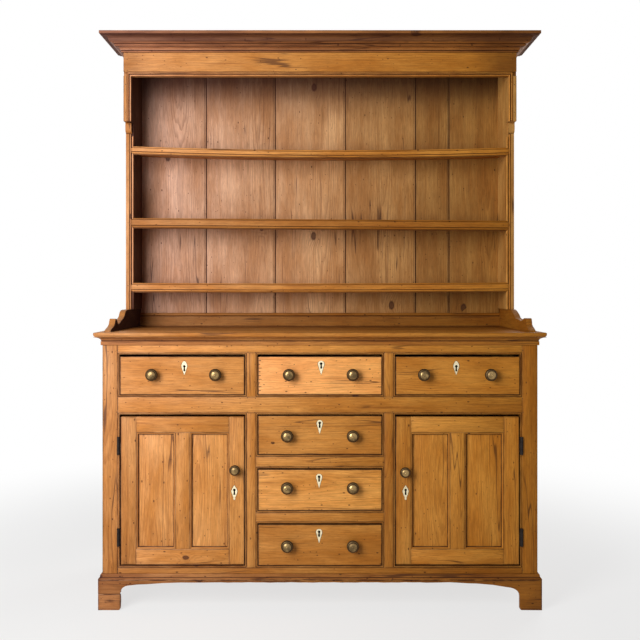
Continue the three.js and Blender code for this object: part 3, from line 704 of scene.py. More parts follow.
BACK_WAX = {"Pale": (198, 150, 101), "Warm": (159, 107, 60), "Late Wood": (104, 62, 30),
            "Knot Colour": (78, 42, 24), "Knot Share": 0.26, "Dirt": 0.35, "Wear": 0.1, "Variety": 0.16,
            "Ring Strength": 0.4}
RAW_PINE = {"Pale": (218, 176, 124), "Warm": (198, 148, 94), "Late Wood": (160, 108, 60),
            "Knot Colour": (104, 60, 32), "Dirt": 0.3, "Wear": 0.1}

for finish, slot, title, *look in (
        ("pine", "pine", "waxed pine", SHOW_WAX),
        ("pale_pine", "pine", "pale waxed pine", PALE_WAX),
        ("knocked_pine", "pine", "knocked waxed pine", KNOCKED_WAX),
        ("foot_pine", "pine", "scuffed pine", FOOT_WAX),
        ("dark_pine", "dark_pine", "dark waxed pine", DARK_WAX),
        ("moulding_pine", "dark_pine", "moulding pine", MOULDING_WAX),
        ("back_pine", "back_pine", "back board pine", BACK_WAX),
        ("raw_pine", "drawer_pine", "inside pine", RAW_PINE),
        ("raw_pine_cad_x", "drawer_pine", "inside pine along x", RAW_PINE, (0, 0, 0)),
        ("pine_cad_z", "pine", "inside pine upright", RAW_PINE, (0, QUARTER, 0))):
    FINISHES[finish] = wood_finish(title, *look)
    SLOTS[finish] = slot
print("wood finishes:", len(FINISHES))

# %% [markdown]
# ## Brass, iron, bone and the painted shade of a keyhole
# The knobs are turned brass gone brown, rubbed bright where fingers pull. Patina lies in clouds and behind
# the rim, so two tones of brass are mixed by a noise and by the turning's own dark mark, and the browner one is
# rougher. Round the rim that dark is partly patina and partly a painted reflection of a dark room. The hinges
# are blackened iron with a skin of rust. The keyhole plates are bone with fine streaks.

# %% Metal and bone finishes
def metal_finish(name, clean, stained, metallic, roughs, patch_size, relief_height, specular):
    material, w, shader = plain_material(name)
    cloud = w.smooth(w.noise(w.place(), 1 / patch_size, 4.0, 0.6), 0.38, 0.62, 0.0, 0.7)
    patch = w.math("MAXIMUM", cloud, w.mark("grime_and_shade"))
    pits = w.noise(w.place(), 6 / patch_size, 3.0, 0.6)
    w.feed(shader.inputs["Base Color"], w.blend(patch, linear(*clean), linear(*stained)))
    w.feed(shader.inputs["Roughness"], w.plus(w.smooth(patch, 0.0, 1.0, *roughs), w.times(pits, 0.08)))
    shader.inputs["Metallic"].default_value = metallic
    shader.inputs["Specular IOR Level"].default_value = specular
    w.relief(shader, pits, 0.4, relief_height)
    return material


def bone_finish():
    material, w, shader = plain_material("bone")
    streak = w.noise(w.place(), (900, 900, 160), 3.0)
    cloud = w.noise(w.place(), 90.0)
    colour = w.blend(w.smooth(streak, 0.35, 0.7), linear(250, 240, 206), linear(236, 218, 172))
    colour = w.blend(w.smooth(cloud, 0.5, 0.75, 0.0, 0.45), colour, linear(190, 158, 104))
    w.feed(shader.inputs["Base Color"], colour)
    w.feed(shader.inputs["Roughness"], w.smooth(streak, 0.2, 0.8, 0.32, 0.46))
    w.relief(shader, streak, 0.2, 0.0004)
    return material


def dull_finish(name, low, high, grain):
    """An even, matt surface between two colours, such as the painted shade in a keyhole or a floor."""
    material, w, shader = plain_material(name)
    w.feed(shader.inputs["Base Color"], w.blend(w.noise(w.place(), grain), linear(*low), linear(*high)))
    shader.inputs["Roughness"].default_value = 0.9
    return material, w, shader


FINISHES["brass"] = metal_finish("patinated brass", (166, 137, 90), (46, 34, 22), 0.9, (0.17, 0.48),
                                 0.02, 0.0004, 0.5)
FINISHES["iron"] = metal_finish("blackened iron", (36, 29, 26), (27, 18, 14), 0.1, (0.55, 0.75),
                                0.012, 0.0006, 0.2)
FINISHES["bone"] = bone_finish()
# In keyholes, cuts and kerfs this dark finish is painted shade; the nails and plate beds take it as a plain
# dark.
FINISHES["dark_and_painted_shade"] = dull_finish("keyhole dark", (14, 9, 6), (34, 22, 14), 400.0)[0]
print("finishes:", len(FINISHES))

# %% [markdown]
# ## The face frame
# Stiles run the full height, rails are tenoned between them and short muntins stand between the rails. Each
# member is its own board, so the joints show as fine lines and the grain turns at each. The openings are the
# drawer fronts and doors with their gaps round them.

# %% Face frame
DRAWERS = ("top_left", "top_centre", "top_right", "second", "third", "fourth")
FRONTS = {name: span(f"drawer_{name}_front") for name in DRAWERS}
side_gap, foot_gap, head_gap, top_head_gap = 2, 1.5, 5, 8
half_centre = FRONTS["second"][1].x + side_gap
opening_inner = FRONTS["top_right"][0].x - side_gap
opening_outer = FRONTS["top_right"][1].x + side_gap
top_row = FRONTS["top_right"][0].z - foot_gap
top_head = FRONTS["top_right"][1].z + top_head_gap
arch_height = 94
bottom_rail_top = FRONTS["fourth"][0].z - foot_gap
middle_rail_under = FRONTS["second"][1].z + head_gap
hinge_nodes = [n for n in frame["nodes"] if n.startswith("hinge_") and n.endswith("frame_leaf")]


def hinge_mortises(side):
    """A pocket in one stile's edge round each hinge barrel."""
    room, depth = 0.8, 4.5
    cutters = []
    for node in hinge_nodes:
        low, high = span(node)
        if low.x * side > 0:
            outer = max(abs(low.x), abs(high.x)) + room
            cutters.append(side_block(side, opening_outer - room, outer, -room, depth, low.z - room / 2,
                                      high.z + room / 2, "z", 0))
    return cutters


BEAD_ROUND = 6
openings = [(-half_centre, half_centre, top_row, top_head)]
for name in ("fourth", "third", "second"):
    low, high = FRONTS[name]
    openings.append((-half_centre, half_centre, low.z - foot_gap, high.z + head_gap))
for side in (-1, 1):
    near, far = ordered(side * opening_inner, side * opening_outer)
    openings.append((near, far, top_row, top_head))
    openings.append((near, far, bottom_rail_top, middle_rail_under))
print("openings", len(openings), "hinge leaves in the stiles", len(hinge_nodes))

# %% [markdown]
# ## Beads and mitred frames
# A bead is half an ellipse that stands between two quirks. Round an opening it is swept past each corner and
# sawn off on the mitre. Where a door hangs, the outer strip also gets the hinge pockets.

# %% Beads and mitred frames
def bead(start, end, floor, height, steps=6):
    """Points over a bead, as (across, depth), from one quirk to the other."""
    middle, half = (start + end) / 2, (end - start) / 2
    turns = [math.pi * i / steps for i in range(1, steps)]
    return [(middle - half * math.cos(t), floor - height * math.sin(t)) for t in turns]


def swell(start, bulge, level, tall, steps=6):
    """Points over a bead on an upright face, as (depth or projection, height)."""
    shares = [i / steps for i in range(1, steps)]
    return [(start + bulge * math.sin(math.pi * share), level + tall * share) for share in shares]


def round_opening(section, opening, direction, tone, front=0, spare=0, pocketed=None):
    """Four mitred strips round an opening. direction is 1 where the section grows inward, else -1."""
    x0, x1, z0, z1 = opening
    strips = []
    for x, inward in ((x0, 1), (x1, -1)):
        plan = [(x + direction * inward * a, front + d, *g) for a, d, *g in section]
        bm = sweep(plan, "xd", z0 - spare, z1 + spare)
        cut_plane(bm, (x, 0, z0), (inward, 0, -1))
        cut_plane(bm, (x, 0, z1), (inward, 0, 1))
        lay_grain(bm, "z", tone)
        strips.append(pocketed(bm, x) if pocketed else bm)
    for z, inward in ((z0, 1), (z1, -1)):
        plan = [(front + d, z + direction * inward * a, *g) for a, d, *g in section]
        bm = sweep(plan, "dz", x0 - spare, x1 + spare)
        cut_plane(bm, (x0, 0, z), (-1, 0, inward))
        cut_plane(bm, (x1, 0, z), (1, 0, inward))
        strips.append(lay_grain(bm, "x", tone))
    return strips


def scratch_bead(opening):
    """The bead scratched round one opening, with a quirk outside. The hinges cut into it."""
    # The dark third numbers paint shade into the quirk and along the gap.
    inner, quirk_from, quirk_floor, tone = 0.5, 4.2, 1.9, -0.08
    first, *others = bead(inner, quirk_from, 1.7, 1.6)
    section = [(inner, frame_thick), (inner, 1.8, 1), (*first, 0.8), *((*point, 0.2) for point in others),
               (quirk_from, quirk_floor, 1), (BEAD_ROUND - 0.5, quirk_floor, 1), (BEAD_ROUND, 0.3, 0.5),
               (BEAD_ROUND, frame_thick)]

    def pocketed(strip, x):
        has_door = opening[2] < middle_rail_under - 1
        if has_door and abs(abs(x) - opening_outer) < 1:
            return bored(strip, hinge_mortises(math.copysign(1, x)), "z", tone)
        return strip

    return round_opening(section, opening, -1, tone, spare=BEAD_ROUND + 1, pocketed=pocketed)


print("points over a bead", len(bead(0, 4, 2, 1.5)))

# %% [markdown]
# ## Members of the face frame
# The left stile has had the hardest knocks, so it is a piece of its own with more dents and cracks.

# %% Members of the face frame
def face_frame():
    """The frame's members, each a board of its own, and the bead round every opening."""
    top, gap = frame_high.z, BEAD_ROUND
    reach = opening_outer + gap

    def rail(half, z0, z1, tone=0.0):
        return block((-half, 0, z0), (half, frame_thick, z1), "x", 0.4, tone)

    parts = [
        rail(reach, top_head + gap, top, 0.05),
        rail(reach, middle_rail_under + gap, top_row - gap, -0.05),
        rail(reach, arch_height, bottom_rail_top - gap, -0.24),
    ]
    for lower, upper in (("fourth", "third"), ("third", "second")):
        foot, head = FRONTS[lower][1].z + head_gap, FRONTS[upper][0].z - foot_gap
        parts.append(rail(half_centre + gap, foot + gap, head - gap, -0.06))

    def uprights(side):
        near, far = half_centre + gap, opening_inner - gap
        return [
            side_block(side, near, far, 0, frame_thick, top_row - gap, top_head + gap, "z", 0.4, -0.02),
            side_block(side, near, far, 0, frame_thick, bottom_rail_top - gap, middle_rail_under + gap,
                       "z", 0.4, -0.08 if side < 0 else -0.16),
        ]

    parts += both_sides(uprights) + [stile(1)]
    for opening in openings:
        parts += scratch_bead(opening)
    return parts


def stile(side):
    """An outer stile, with its hinge pockets."""
    board = side_block(side, opening_outer + BEAD_ROUND, half_base, 0, frame_thick, 0, frame_high.z, "z", 0.5)
    # Painted shade along the outer arris, where the edge turns away from the light.
    soil_and_shade(board, 0.4, lambda co: abs(co.x - side * half_base) < NEAR)
    return bored(board, hinge_mortises(side), "z", -0.2 if side < 0 else -0.1)


piece("face_frame", face_frame(), "pine", "carcass", ["base_face_frame"], hole_finish="pine")
piece("knocked_stile", [stile(-1)], "knocked_pine", "carcass", hole_finish="knocked_pine")

# %% [markdown]
# ## Plinth with bracket feet
# The front board is sawn to an arch that falls in a cove to each foot, and small mouldings cap it on three
# sides. A moulding is swept past the corner and sawn off on the mitre, as it is at the bench.

# %% Mouldings with mitred corners
def moulding(section, half_width, front, back, tone=0.0):
    """A moulding across the front with a return along each side. A section point is (projection, height)."""
    reach = max(point[0] for point in section) + 1
    corner = Vector((half_width, front, 0))
    run = sweep([(front - p, z, *g) for p, z, *g in section], "dz", -half_width - reach, half_width + reach)
    for side in (-1, 1):
        cut_plane(run, (side * corner.x, corner.y, 0), (side, 1, 0))
    parts = [lay_grain(run, "x", tone)]
    for side in (-1, 1):
        profile = [(side * (half_width + p), z, *g) for p, z, *g in section]
        side_run = sweep(profile, "xz", front - reach, back)
        cut_plane(side_run, (side * corner.x, corner.y, 0), (-side, -1, 0))
        parts.append(lay_grain(side_run, "d", tone))
    return parts


def grow(points, run, rise, level_first, steps=6):
    """Adds a quarter of an ellipse to a section. level_first starts along the first axis."""
    u, v = points[-1][:2]
    for i in range(1, steps + 1):
        turn = i / steps * QUARTER
        shares = math.sin(turn), 1 - math.cos(turn)
        across, upward = shares if level_first else reversed(shares)
        points.append((u + run * across, v + rise * upward))
    return points


print("points in a quarter hollow", len(grow([(0, 0)], 10, 10, True)))

# %% Plinth outline
plinth_low, plinth_high = span("plinth")
plinth_outer = plinth_high.x
plinth_front = plinth_low.y
foot_width, foot_corner = 75, 7
mended_to = 56
foot_curves = {-1: (34, 26, 84), 1: (40, 34, 78)}
arch_ease_share = 0.4
cap_height = 18
side_foot = 80


def foot_and_arch(side):
    """The lower edge from one foot to the arch's level top. The two feet were sawn by eye and differ."""
    run, rise, shoulder = foot_curves[side]
    inner = plinth_outer - foot_width
    ease = inner * arch_ease_share
    if side > 0:
        points = arc(inner + foot_corner, foot_corner, foot_corner, foot_corner, 270, 180, 4)
    else:
        points = [(inner + 2.5, mended_to), (inner - 1.5, mended_to + 4), (inner, mended_to + 8)]
    points += arc(inner - run, shoulder - rise, run, rise, 0, 90)
    start, pull, end = inner - run, inner - ease / 2, inner - ease
    for i in range(1, 9):
        t = i / 8
        x = (1 - t) ** 2 * start + 2 * t * (1 - t) * pull + t * t * end
        z = (1 - t) ** 2 * shoulder + (2 * t * (1 - t) + t * t) * arch_height
        points.append((x, z))
    return [(side * x, worn_edge(side * x, z)) for x, z in points]


def worn_edge(x, z):
    """A hundred years of brooms and boots have left the sawn edge a little wavy."""
    return z + 0.5 * math.sin(x * 0.047) + 0.4 * math.sin(x * 0.131 + 1.1)


def plinth_front_outline():
    top = plinth_high.z - cap_height
    level = [(x, worn_edge(x, arch_height)) for x in range(360, -361, -24)]
    feet = foot_and_arch(1) + level + foot_and_arch(-1)[::-1]
    return [(plinth_outer, top), (plinth_outer, 0), *feet, (-plinth_outer, mended_to), (-plinth_outer, top)]


print("points in the plinth's outline", len(plinth_front_outline()))


# %% Plinth boards
def scuffed(bm, x, z, width, height, dark):
    """Divides a front round one spot and darkens its middle, where boots have struck it."""
    for i in (-1, 0, 1):
        divide(bm, (x + width * i, 0, 0), (1, 0, 0))
    for i in (-1, 0, 1):
        divide(bm, (0, 0, z + height * i), (0, 0, 1))
    return soil_and_shade(bm, dark, lambda co: abs(co.x - x) < NEAR and abs(co.z - z) < NEAR)


def mended_foot():
    """The block that was let in when the left foot rotted away. Its grain runs across and it is scuffed."""
    inner, outer, top = foot_width - plinth_outer, -plinth_outer, mended_to - 1.6
    outline = [(outer, top), (outer, 0)]
    outline += arc(inner - foot_corner, foot_corner, foot_corner, foot_corner, 270, 360, 4)
    outline += [(inner + 1.2, 30), (inner + 0.4, top - 5), (inner - 2.5, top)]
    mend = shaped(outline, "xz", plinth_front, 0, "x", 1.2, -0.14)
    scuffed(mend, outer + 40, 32, 20, 9, 0.75)
    return scuffed(mend, outer + 26, 25, 8, 8, 0.6)


def plinth_side(side):
    """The return along one side, with a foot at each end."""
    top, rear = plinth_high.z - cap_height, base_back - side_foot
    corner, curve, shoulder = foot_corner, 36, 79
    outline = [(0, 0)]
    outline += arc(side_foot - corner, corner, corner, corner, -90, 0, 4)
    outline += arc(side_foot + curve, shoulder - curve, curve, curve, 180, 90)
    outline += arc(rear - curve, shoulder - curve, curve, curve, 90, 0)
    outline += arc(rear + corner, corner, corner, corner, 180, 270, 4)
    outline += [(base_back, 0), (base_back, top), (0, top)]
    inner, outer = ordered(side * half_base, side * plinth_outer)
    return shaped(outline, "dz", inner, outer, "d", 0.8, -0.05)


def plinth():
    base = plinth_high.z - cap_height
    proud = plinth_outer - half_base
    # Third numbers paint shade into the cap's quirks and the corner under it.
    section = [(0, base), (proud, base, 0.6), (proud, base + 2.5)]
    grow(section, -proud * 0.25, 3, False, 4)
    section += [(proud * 0.66, base + 6, 1), (proud * 0.58, base + 7.4, 0.8), (proud * 0.56, base + 10)]
    grow(section, -proud * 0.18, plinth_high.z - base - 10.4, False, 5)
    section += [(0, plinth_high.z, 0.9)]
    front = shaped(plinth_front_outline(), "xz", plinth_front, 0, "x", 0.8, -0.18)
    cap = moulding(section, half_base, 0, base_back, -0.08)
    return [front, mended_foot(), plinth_side(-1), plinth_side(1)] + cap


piece("plinth_with_feet", plinth(), "foot_pine", "carcass", ["plinth"])

# %% [markdown]
# ## Base sides
# Each side is glued up from three upright boards and stands on two feet. Inside it a runner bears the outer
# drawer of the top row, and a guide beside the drawer keeps it straight. The partitions and the floor keep
# the CAD's mesh and only get a finish.

# %% Base sides, floor and partitions
side_board = 22
side_arch = 79
side_joints = (168, 322)
runner_height, runner_width, guide_height = 20, 24, 16


def base_side(side):
    inner, outer = ordered(side * (half_base - side_board), side * half_base)
    joints = [frame_thick, *side_joints, base_back]
    arch_from, arch_to = side_foot, base_back - side_foot
    parts = []
    for start, end in zip(joints, joints[1:]):
        outline = [(start, 0)]
        if start < arch_from < end:
            outline += [(arch_from, 0), (arch_from, side_arch), (end, side_arch)]
        elif start < arch_to < end:
            outline = [(start, side_arch), (arch_to, side_arch), (arch_to, 0), (end, 0)]
        else:
            outline = [(start, side_arch), (end, side_arch)]
        outline += [(end, frame_high.z), (start, frame_high.z)]
        parts.append(shaped(outline, "dz", inner, outer, "z", 0.5))
    carcass_back = span("base_back")[0].y
    wall, edge = half_base - side_board, opening_outer
    for near, foot, head in ((edge - runner_width, top_row - runner_height, top_row),
                             (edge, top_row, top_row + guide_height)):
        parts.append(side_block(side, near, wall, frame_thick, carcass_back, foot, head, "d", 0.5))
    return parts


for side, name in ((-1, "left"), (1, "right")):
    piece(f"{name}_base_side", base_side(side), "pine", "carcass", [f"base_side_{name}"])
    refinish(f"base_partition_{name}", "pine_cad_z")
refinish("base_floor", "raw_pine_cad_x")

# %% [markdown]
# ## Boarded backs
# Both backs are rows of upright boards of unequal width with beaded joints. The bead is run on one edge of
# each board, so a light line lies beside each dark joint. The rack's boards stand in daylight, and both backs
# take a duller wax with more knots than the show wood.

# %% Back boards
BEAD = 4


def back_board(left, right, shown, hidden, foot, head, tone, bead_on_right=True):
    """One upright board, rebated at both edges of its face, with a bead run along the right one."""
    inward = 1 if hidden > shown else -1
    open_joint, joint_depth, chamfer = 1.7, 3.5, 0.8
    floor = shown + inward * joint_depth
    outline = [(left + 1, hidden), (left, hidden - inward * 1.4, 1), (left, floor, 1),
               (left + open_joint, floor - inward, 1),
               (left + open_joint, shown + inward * chamfer, 0.7), (left + open_joint + chamfer, shown)]
    edge = right - open_joint
    if bead_on_right:
        quirk, quirk_floor = edge - BEAD - 1.4, shown + inward * 1.8
        outline += [(quirk, shown), (quirk + 0.4, quirk_floor, 1), (quirk + 1.4, quirk_floor, 1)]
        outline += bead(edge - BEAD, edge, shown + inward * 1.4, inward * 1.2)
    else:
        outline += [(edge - chamfer, shown), (edge, shown + inward * chamfer, 0.7)]
    outline += [(edge, floor - inward, 1), (right, floor, 1), (right, hidden - inward * 1.4, 1),
                (right - 1, hidden)]
    return shaped(outline, "xd", foot, head, "z", 0.0, tone)


def boarded(shares, low, high, shown, hidden, tones):
    width = high.x - low.x
    joints = [0, *shares, 1]
    edges = [low.x + share * width for share in joints]
    return [back_board(a, b, shown, hidden, low.z, high.z, tone, b < high.x)
            for a, b, tone in zip(edges, edges[1:], tones)]


# Painted shadow under the frieze: how far below its lip, in mm, and how dark.
FRIEZE_SHADOW_LEVELS = ((130, 0.0), (85, 0.2), (50, 0.4), (20, 0.62), (-30, 0.85))


def painted_frieze_shadow(bm, lip):
    """Painted shadow: darkens the boards behind the frieze and a little below its lip, where the frieze shades
    them.
    """
    for below, _ in FRIEZE_SHADOW_LEVELS:
        divide(bm, (0, 0, lip - below), (0, 0, 1))
    grime_and_shade = bm.verts.layers.float["grime_and_shade"]
    lowest = FRIEZE_SHADOW_LEVELS[0][0]
    for v in bm.verts:
        if v.co.z > lip - lowest:
            dark = min(FRIEZE_SHADOW_LEVELS, key=lambda level: abs(lip - level[0] - v.co.z))[1]
            v[grime_and_shade] = max(v[grime_and_shade], dark)
    return bm


rack_plank_shares = (0.1833, 0.3757, 0.5708, 0.7664, 0.8598)
base_plank_shares = (0.14, 0.3, 0.43, 0.58, 0.73, 0.87)
low, high = span("rack_back_boards")
rack_planks = boarded(rack_plank_shares, low, high, low.y, high.y, (0.0, 0.09, 0.2, 0.08, -0.04, -0.07))
frieze_lip = span("rack_frieze")[0].z
piece("rack_boards", [painted_frieze_shadow(plank, frieze_lip) for plank in rack_planks], "back_pine", "carcass",
      ["rack_back_boards"])
low, high = span("base_back")
base_planks = boarded(base_plank_shares, low, high, high.y, low.y, (0, 0.04, -0.04, 0, 0.05, 0, -0.03))
piece("base_back_boards", base_planks, "back_pine", "carcass", ["base_back"])

# %% [markdown]
# ## Worktop and the cove under it
# Three long boards make the top. Its front and ends are rounded under, and a cove and fillet fill the corner
# beneath, mitred at both ends.

# %% Worktop
# The top's boards are darker the further back they lie: painted shade on a face that the light only grazes.
worktop_joints, worktop_tones_and_shade = (118, 292), (-0.1, -0.4, -0.6)


def lies_at(edge, axis, level):
    """Whether both ends of an edge lie at one level of an axis."""
    return all(abs(v.co[AXES.index(axis)] - level) < 1e-3 for v in edge.verts)


def worktop():
    round_under, round_over = 10, 3
    lower, upper = worktop_low, worktop_high
    joints = [lower.y, *worktop_joints, upper.y]
    parts = []
    for start, end, tone in zip(joints, joints[1:], worktop_tones_and_shade):
        bm = block((lower.x, start, lower.z), (upper.x, end, upper.z), "x", 0)
        for level, width, segments in ((lower.z, round_under, 6), (upper.z, round_over, 4)):
            shown = [e for e in bm.edges if lies_at(e, "z", level)
                     and (start == lower.y and lies_at(e, "d", start)
                          or lies_at(e, "x", lower.x) or lies_at(e, "x", upper.x))]
            soften(bm, shown, width, segments)
        parts.append(lay_grain(bm, "x", tone))
    return parts


def worktop_cove():
    foot = span("worktop_moulding")[0].z
    head = worktop_low.z
    fillet, cove_reach, cove_height = 5, 25, 13
    # Third numbers paint shade into the quirk under the fillet and under the worktop.
    section = [(0, head), (0, foot, 0.7), (fillet - 2, foot, 0.7)]
    grow(section, 2, 2, True, 3)
    section += [(fillet, head - cove_height - 2.2), (fillet - 1.8, head - cove_height - 1.6, 1),
                (fillet - 1.2, head - cove_height, 1)]
    grow(section, cove_reach - fillet + 1.2, cove_height - 0.6, False, 8)
    section.append((cove_reach, head, 0.6))
    return moulding(section, half_base, 0, base_back, -0.1)


piece("worktop_boards", worktop(), "pine", "carcass", ["worktop"])
piece("worktop_cove", worktop_cove(), "moulding_pine", "carcass", ["worktop_moulding"])

# %% [markdown]
# ## Gallery
# Scrolled boards stand on the worktop and carry the rack. They were sawn by eye, so the left one has the
# deeper notch: each outline is a list of points from the rack down to the toe. The upstand between them has a
# bead on its top edge.

# %% Gallery ends and upstand
SCROLLS = {
    -1: ((245, 70), (232, 69.2), (220, 66.5), (210, 62), (204, 56.5), (199, 50), (192, 45), (180, 41),
         (164, 36.5), (146, 31), (130, 25.5), (118, 22), (110, 22), (103, 25.5), (96, 32), (90, 37.5),
         (84, 41.5), (78, 43), (73, 41.5), (68, 34), (65, 28), (58, 21.5), (48, 17), (34, 13), (20, 9.5),
         (11, 6.5), (6, 4)),
    1: ((280, 70), (266, 67.6), (245, 61.5), (222, 52.6), (211, 46), (202, 41), (185, 39), (167, 37.8),
        (150, 36), (136, 34.3), (120, 33.6), (108, 34.8), (98, 37.6), (88, 41.3), (80, 43.8), (73, 45),
        (64, 45.4), (57.5, 44.2), (54, 40.6), (51.8, 33), (49, 24), (40, 18.5), (29, 14.5), (18, 10.5),
        (11, 7), (6, 4)),
}
gallery_low, gallery_high = span("gallery_right")
rack_front = span("rack_shelf_middle")[0].y
skin = 1


def gallery_end(side):
    """A scrolled board and a skin on its inner face. The left one looks away from the window, and its skin and
    board are darker as painted shade.
    """
    foot = gallery_low.z
    # The skin carries painted shade: strong on the left, faint on the right.
    shade = 1.0 if side < 0 else 0.15
    outline = [(base_back, foot), (base_back, gallery_high.z)]
    outline += [(d, foot + rise) for d, rise in SCROLLS[side]]
    outline.append((gallery_low.y, foot))
    inner, outer = side * gallery_low.x, side * gallery_high.x
    board = sweep(outline, "dz", *ordered(inner + side * skin, outer))
    soften(board, cap_edges(board, "dz", outer), 1.2)
    face = sweep([(*point, shade) for point in outline], "dz", *ordered(inner, inner + side * skin))
    lay_grain(board, "d", -0.34 if side < 0 else -0.24)
    return gathered("scroll", [board, lay_grain(face, "d", -0.4 if side < 0 else -0.3)])


def upstand():
    """A board with a bead and a quirk along its top."""
    low, high = span("gallery_back")
    radius, quirk, sunk = 5.5, 2, low.y + 3.2
    under = high.z - 2 * radius
    outline = [(high.y, low.z), (high.y, high.z), (low.y + radius, high.z)]
    outline += arc(low.y + radius, high.z - radius, radius, radius, 100, 250)
    # Third numbers paint shade into the quirk below the bead and the corner on the worktop.
    outline += [(sunk, under, 1), (sunk, under - quirk, 1), (low.y, under - quirk - 0.6, 0.3),
                (low.y, low.z + 3, 0.2), (low.y + 0.4, low.z, 1)]
    return shaped(outline, "dz", low.x, high.x, "x", 0, -0.32)


piece("gallery_scroll_left", [gallery_end(-1)], "pine", "carcass", ["gallery_left"])
piece("gallery_scroll_right", [gallery_end(1)], "pine", "carcass", ["gallery_right"])
piece("gallery_upstand", [upstand()], "pine", "carcass", ["gallery_back"])

# %% [markdown]
# ## Rack sides
# The sides step back under the frieze with a rounded lip. Their front edge has a reed that runs from foot to
# frieze, then a deep quirk and a bead on the arris. The bead stops at every shelf and turns the corner on a
# mitre, so that each bay but the left side's bottom one is framed like a panel. The left side's inner face
# looks away from the window and carries painted shade, and the right upright's inner faces are painted lighter,
# as painted light. The strips are waxed paler, their tones paint light and shade, and the right upright has the
# duller wax of the back boards.

# %% Rack sides
rack_low, rack_high = span("rack_side_right")
rack_outer, rack_inner = rack_high.x, rack_low.x
frieze_low, frieze_high = span("rack_frieze")
upper_front = frieze_low.y
plank_front = span("rack_back_boards")[0].y
reed_width, bay_width = 16, 8.8
reed_sink = 6
strip_back = reed_sink + 0.4
rebate_inner = rack_inner + 6
frieze_to_step, frieze_lift = 163, 6
step_top = frieze_low.z - frieze_to_step
frieze_low.z += frieze_lift
step_height, step_back, step_inset = 41, 9.5, 5
step_foot = step_top - step_height
short_of_step = 9
# Painted shade on each side's inner face: strong on the left, which looks away from the light.
SHADE = {-1: 0.95, 1: 0.06}
SHELF_LIFTS = {"bottom": (4, 2, 6), "middle": (12, 7, 2), "top": (13, -1.5, 8)}
SHELF_DROPS = {"bottom": 6, "middle": 9, "top": 1}
print("rack opening", round(2 * rack_inner), "mm wide, frieze from", round(frieze_low.z), "mm")


# %% Plans and outlines of a side
def side_plan(side, front, notch=None):
    """A side's plan from its outer front corner. A notch holds the frieze's end."""
    start = notch if notch else front
    # The inner face and the floor behind the strips take the side's painted shade.
    shade = SHADE[side]
    plan = [(rack_outer - skin, start), (rack_inner + reed_width, start)]
    if not notch:
        plan += [(rack_inner + reed_width, front + reed_sink, shade), (rack_inner, front + reed_sink, shade)]
    else:
        plan.append((rack_inner, start, shade))
    plan += [(rack_inner, plank_front, shade), (rebate_inner, plank_front), (rebate_inner, base_back),
             (rack_outer - skin, base_back)]
    return [(side * x, d, *g) for x, d, *g in plan]


def step_outline(shade=0.0):
    """The step seen from the side: an undercut, a full round and a quirk above the lower front."""
    # The undercut and the quirk are darkened as painted shade.
    foot, undercut, bulge = step_foot, 4, rack_front - step_back
    outline = [(base_back, foot), (base_back, step_top), (bulge + undercut, step_top, 0.9)]
    grow(outline, -undercut, -6, True, 5)
    outline.append((bulge, foot + 17))
    grow(outline, step_back + 2, -14.4, False, 6)
    outline += [(rack_front + 2.6, foot + 1.6, 1), (rack_front, foot, 0.5)]
    return [(d, z, max(g[0] if g else 0.0, shade)) for d, z, *g in outline]


def side_outline():
    """The whole board seen from outside, with a notch for the frieze's end."""
    step = [(d, z) for d, z, *_ in step_outline() if d < rack_front + 1]
    return [(base_back, rack_low.z), (base_back, rack_high.z), (frieze_high.y, rack_high.z),
            (frieze_high.y, frieze_low.z), (upper_front, frieze_low.z), (upper_front, step_top),
            *step, (rack_front, rack_low.z)]


print("points in the step", len(step_outline()), "and in the whole side", len(side_outline()))


# %% Rack uprights
def rack_side(side):
    """Stretches of one board under an outer skin. They share one grain, so their joints don't show."""
    core = ordered(side * (rack_inner + step_inset + skin), side * (rack_outer - skin))
    shaded = ordered(side * (rack_inner + step_inset), side * (rack_inner + step_inset + skin))
    behind = ordered(side * rack_inner, side * (rack_inner + step_inset))
    # The backing behind the step carries the side's painted shade.
    backing = [(d, z, SHADE[side]) for d, z in ((base_back, step_foot), (base_back, step_top),
                                                (rack_front + 4, step_top), (rack_front + 4, step_foot))]
    stretches = [
        sweep(side_plan(side, rack_front), "xd", rack_low.z, step_foot),
        sweep(step_outline(), "dz", *core),
        sweep(step_outline(SHADE[side]), "dz", *shaded),
        sweep(backing, "dz", *behind),
        sweep(side_plan(side, upper_front), "xd", step_top, frieze_low.z),
        sweep(side_plan(side, upper_front, frieze_high.y), "xd", frieze_low.z, rack_high.z),
        sweep(side_outline(), "dz", *ordered(side * (rack_outer - skin), side * rack_outer)),
    ]
    # The right upright's inner faces are painted lighter than its outer skin: painted light where it faces the
    # lamp.
    core_tone_and_light, cheek_tone = (-0.2, -0.2) if side < 0 else (0.4, 0.02)
    board = lay_grain(gathered("stretch", stretches), "z", core_tone_and_light)
    tone = board.verts.layers.float["tone"]
    for v in board.verts:
        if side * v.co.x > rack_outer - skin / 2:
            v[tone] = cheek_tone
    return board


piece("rack_upright_left", [rack_side(-1)], "pine", "carcass", ["rack_side_left"])
piece("rack_upright_right", [rack_side(1)], "back_pine", "carcass", ["rack_side_right"])


# %% Sections of the strips
def reed_section():
    """The outer strip: a quirk and a reed. Points are across the edge from outside, and the depth."""
    # Third numbers paint shade into the quirks.
    start, end, floor, height = 1.9, 7.2, 3.6, 2.8
    return [(0, strip_back), (0, 0.9), (0.5, floor, 1), (start, floor, 1), (start, floor, 0.7),
            *bead(start, end, floor, height, 8), (end, floor, 0.7), (end, strip_back)]


